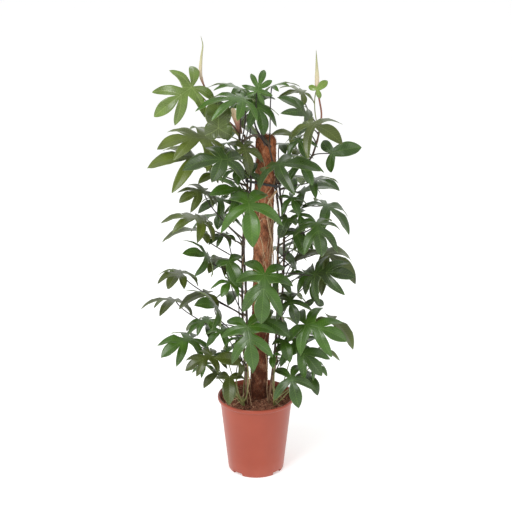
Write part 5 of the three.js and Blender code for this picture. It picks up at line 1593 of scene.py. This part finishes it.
def pot_finish():
    """Terracotta-coloured plastic, a little dusty low down."""
    finish = Finish("pot_plastic", 0.5, Sheen_Weight=0.12, Sheen_Roughness=0.35)
    cloud = finish.noise(9, 3, 0.55)
    height = finish.node("SeparateXYZ", {"Vector": finish.place()}).outputs["Z"]
    dust = finish.times(finish.spread(height, 0.0, 0.05, 1.0, 0.0), cloud)
    shade = finish.ramp(cloud, [(0.3, 148, 60, 37), (0.7, 157, 67, 43)])
    finish.put("Base Color", finish.mix(finish.times(dust, 0.5), shade, rgba(182, 104, 86)))
    finish.put("Roughness", finish.varied(cloud, 0.32, 0.42))
    finish.bump(finish.noise(900, 2, 0.5), 0.12, 0.2)
    return finish.material


def soil_finish():
    """Damp dark earth, with each crumb in its own shade."""
    finish = Finish("soil_earth", 0.15, Roughness=0.95)
    grain = finish.noise(260, 4, 0.7)
    tone = finish.plus(finish.times(finish.value("tone"), 0.7), finish.times(grain, 0.5))
    shades = [(0.15, 58, 36, 29), (0.45, 104, 66, 51), (0.75, 146, 100, 78), (1.0, 196, 152, 122)]
    finish.put("Base Color", finish.ramp(tone, shades))
    finish.bump(grain, 0.8, 1.5)
    return finish.material


def coir_finish():
    """Coir that is orange-brown at the top and darker and redder towards the bottom."""
    finish = Finish("coir", 0.2, Roughness=0.9)
    fibre = finish.noise(420, 3, 0.65, (1, 1, 0.35))
    cloud = finish.noise(22, 3, 0.6)
    patch = finish.noise(55, 3, 0.6, (1, 1, 0.6))
    height = finish.spread(finish.value("height"), 0.25, 1.06, 0.0, 1.0)
    base = finish.ramp(finish.plus(height, finish.varied(cloud, -0.18, 0.18)), [
        (0.0, 96, 52, 34), (0.3, 128, 74, 50), (0.55, 176, 118, 86), (0.8, 168, 106, 74), (1.0, 164, 98, 62)])
    tone = finish.plus(finish.times(finish.value("tone"), 0.5), finish.times(fibre, 0.5))
    tone = finish.plus(tone, finish.varied(patch, -0.26, 0.26))
    dark = finish.mix(finish.spread(tone, 0.15, 0.5, 0.8, 0.0), base, rgba(52, 29, 20))
    pale = finish.mix(finish.spread(tone, 0.5, 0.95, 0.0, 0.75), dark, rgba(214, 170, 136))
    finish.put("Base Color", pale)
    finish.bump(fibre, 0.9, 1.2)
    return finish.material


def bark_finish():
    """A stem's bark: dark in the middle, paler at its foot and top, with a scar at each ring."""
    finish = Finish("stem_bark", 0.35)
    streak = finish.noise(140, 4, 0.65, (1, 1, 0.2))
    height = finish.value("height")
    dark = finish.ramp(streak, [(0.3, 34, 26, 23), (0.6, 60, 46, 37), (0.8, 104, 82, 62)])
    pale = finish.ramp(streak, [(0.3, 92, 66, 44), (0.6, 132, 100, 74), (0.8, 166, 132, 104)])
    ends = finish.plus(finish.spread(height, 0.3, 0.42, 0.9, 0.0), finish.spread(height, 1.0, 1.08, 0.0, 0.5))
    scar = finish.times(finish.spread(finish.value("ring"), 0.01, 0.05, 1.0, 0.0), 0.6)
    finish.put("Base Color", finish.mix(scar, finish.mix(ends, dark, pale), rgba(102, 82, 60)))
    finish.put("Roughness", finish.varied(streak, 0.45, 0.65))
    finish.bump(streak, 0.5, 0.6)
    return finish.material


def spear_finish():
    """A rolled leaf: a pink-brown stalk, a cream roll and a greener tip."""
    finish = Finish("spear_leaf", 0.4, Roughness=0.45)
    streak = finish.noise(200, 3, 0.6, (1, 1, 0.1))
    base = finish.ramp(finish.plus(finish.value("along"), finish.varied(streak, -0.02, 0.02)), [
        (0.0, 122, 78, 62), (0.08, 170, 126, 106), (0.2, 200, 182, 158), (0.45, 190, 182, 146),
        (0.8, 150, 154, 110), (1.0, 108, 116, 70)])
    from_edge = finish.math("ABSOLUTE", finish.math("SUBTRACT", finish.value("tone"), 0.04))
    edge = finish.spread(from_edge, 0, 0.06, 0.5, 0.0)
    finish.put("Base Color", finish.mix(edge, base, rgba(160, 120, 84)))
    finish.bump(streak, 0.2, 0.3)
    return finish.material


def sheath_finish():
    """A dry sheath, darker at its foot and pale at its tip."""
    finish = Finish("dry_sheath", 0.25, Roughness=0.7)
    streak = finish.noise(260, 3, 0.6, (1, 1, 0.12))
    at = finish.plus(finish.value("along"), finish.varied(streak, -0.12, 0.12))
    shades = [(0.0, 110, 78, 60), (0.35, 178, 124, 108), (0.65, 212, 182, 146), (1.0, 226, 206, 172)]
    finish.put("Base Color", finish.ramp(at, shades))
    finish.bump(streak, 0.5, 0.4)
    return finish.material


def net_finish():
    """Thin dark cord."""
    return plain_finish("net_cord", 0.3, (300, 2, 0.5), [(0.3, 46, 27, 20), (0.7, 84, 54, 38)], Roughness=0.6)


def root_finish():
    """The pale skin of thin roots."""
    shades = [(0.3, 142, 108, 80), (0.55, 192, 162, 128), (0.8, 222, 200, 170)]
    return plain_finish("root_tan", 0.2, (300, 4, 0.7), shades, bump=(0.6, 0.5), Roughness=0.85)


def grey_root_finish():
    """The grey skin of old thick roots."""
    shades = [(0.3, 70, 60, 52), (0.55, 116, 104, 92), (0.8, 156, 142, 126)]
    return plain_finish("root_grey", 0.3, (160, 4, 0.65), shades, bump=(0.5, 0.5), Roughness=0.7)


def strap_finish():
    """Black plastic band."""
    shades = [(0.3, 18, 17, 16), (0.7, 34, 32, 30)]
    return plain_finish("strap", 0.5, (500, 2, 0.5), shades, rough=(0.35, 0.5), bump=(0.2, 0.2))


def wood_finish():
    """Plain pale wood, with its grain upright."""
    shades = [(0.3, 150, 114, 74), (0.7, 190, 156, 110)]
    grain = (120, 4, 0.6, (1, 1, 0.06))
    return plain_finish("stake_wood", 0.3, grain, shades, bump=(0.3, 0.4), Roughness=0.7)


def floor_finish():
    """A plain pale floor that glows a little, so that it shows no edge."""
    return Finish("studio_white", 0.1, Roughness=0.9, Base_Color=(0.95, 0.95, 0.95, 1),
                  Emission_Color=(1, 1, 1, 1), Emission_Strength=FLOOR_GLOW).material


leaf_upper = leaf_finish("leaf_upper", [
    (0.0, 34, 48, 14), (0.3, 44, 70, 14), (0.65, 58, 94, 14), (1.0, 90, 132, 26)],
    (116, 146, 70), 0.3, 0.32, 0.26, 0.55)
leaf_upper_olive = leaf_finish("leaf_upper_olive", [
    (0.0, 50, 58, 16), (0.3, 68, 80, 20), (0.65, 92, 108, 28), (1.0, 122, 138, 46)],
    (128, 144, 84), 0.3, 0.34, 0.26, 0.5)
leaf_lower = leaf_finish("leaf_lower", [
    (0.0, 84, 98, 58), (0.5, 102, 118, 72), (1.0, 122, 138, 86)],
    (152, 164, 112), 0.5, 0.55, 0.4, 0.3)
leaf_upper_young = leaf_finish("leaf_upper_young", [
    (0.0, 66, 78, 36), (0.5, 100, 126, 48), (1.0, 126, 148, 68)],
    (150, 166, 100), 0.4, 0.28, 0.3, 0.5)
leaf_lower_young = leaf_finish("leaf_lower_young", [
    (0.0, 116, 132, 76), (0.5, 132, 146, 90), (1.0, 146, 158, 102)],
    (172, 178, 130), 0.5, 0.5, 0.4, 0.3)
petiole_dark = petiole_finish("petiole_dark", (66, 60, 38), (42, 31, 29))
petiole_olive = petiole_finish("petiole_olive", (138, 138, 84), (116, 122, 70))
young_finishes = [leaf_upper_young, leaf_lower_young, petiole_olive]
pot_plastic = pot_finish()
soil_earth = soil_finish()
coir = coir_finish()
stem_bark = bark_finish()
spear_leaf = spear_finish()
dry_sheath = sheath_finish()
root_tan = root_finish()
root_grey = grey_root_finish()
net_cord = net_finish()
strap = strap_finish()
stake_wood = wood_finish()
studio_white = floor_finish()


pot()
soil()
coir_pole()
stake()
tie()
stems()
spears()
sheath()
aerial_root()
thin_roots()
crown_roots()
crown_stalk()
coir_net()
foliage()
small_leaves()
surroundings()
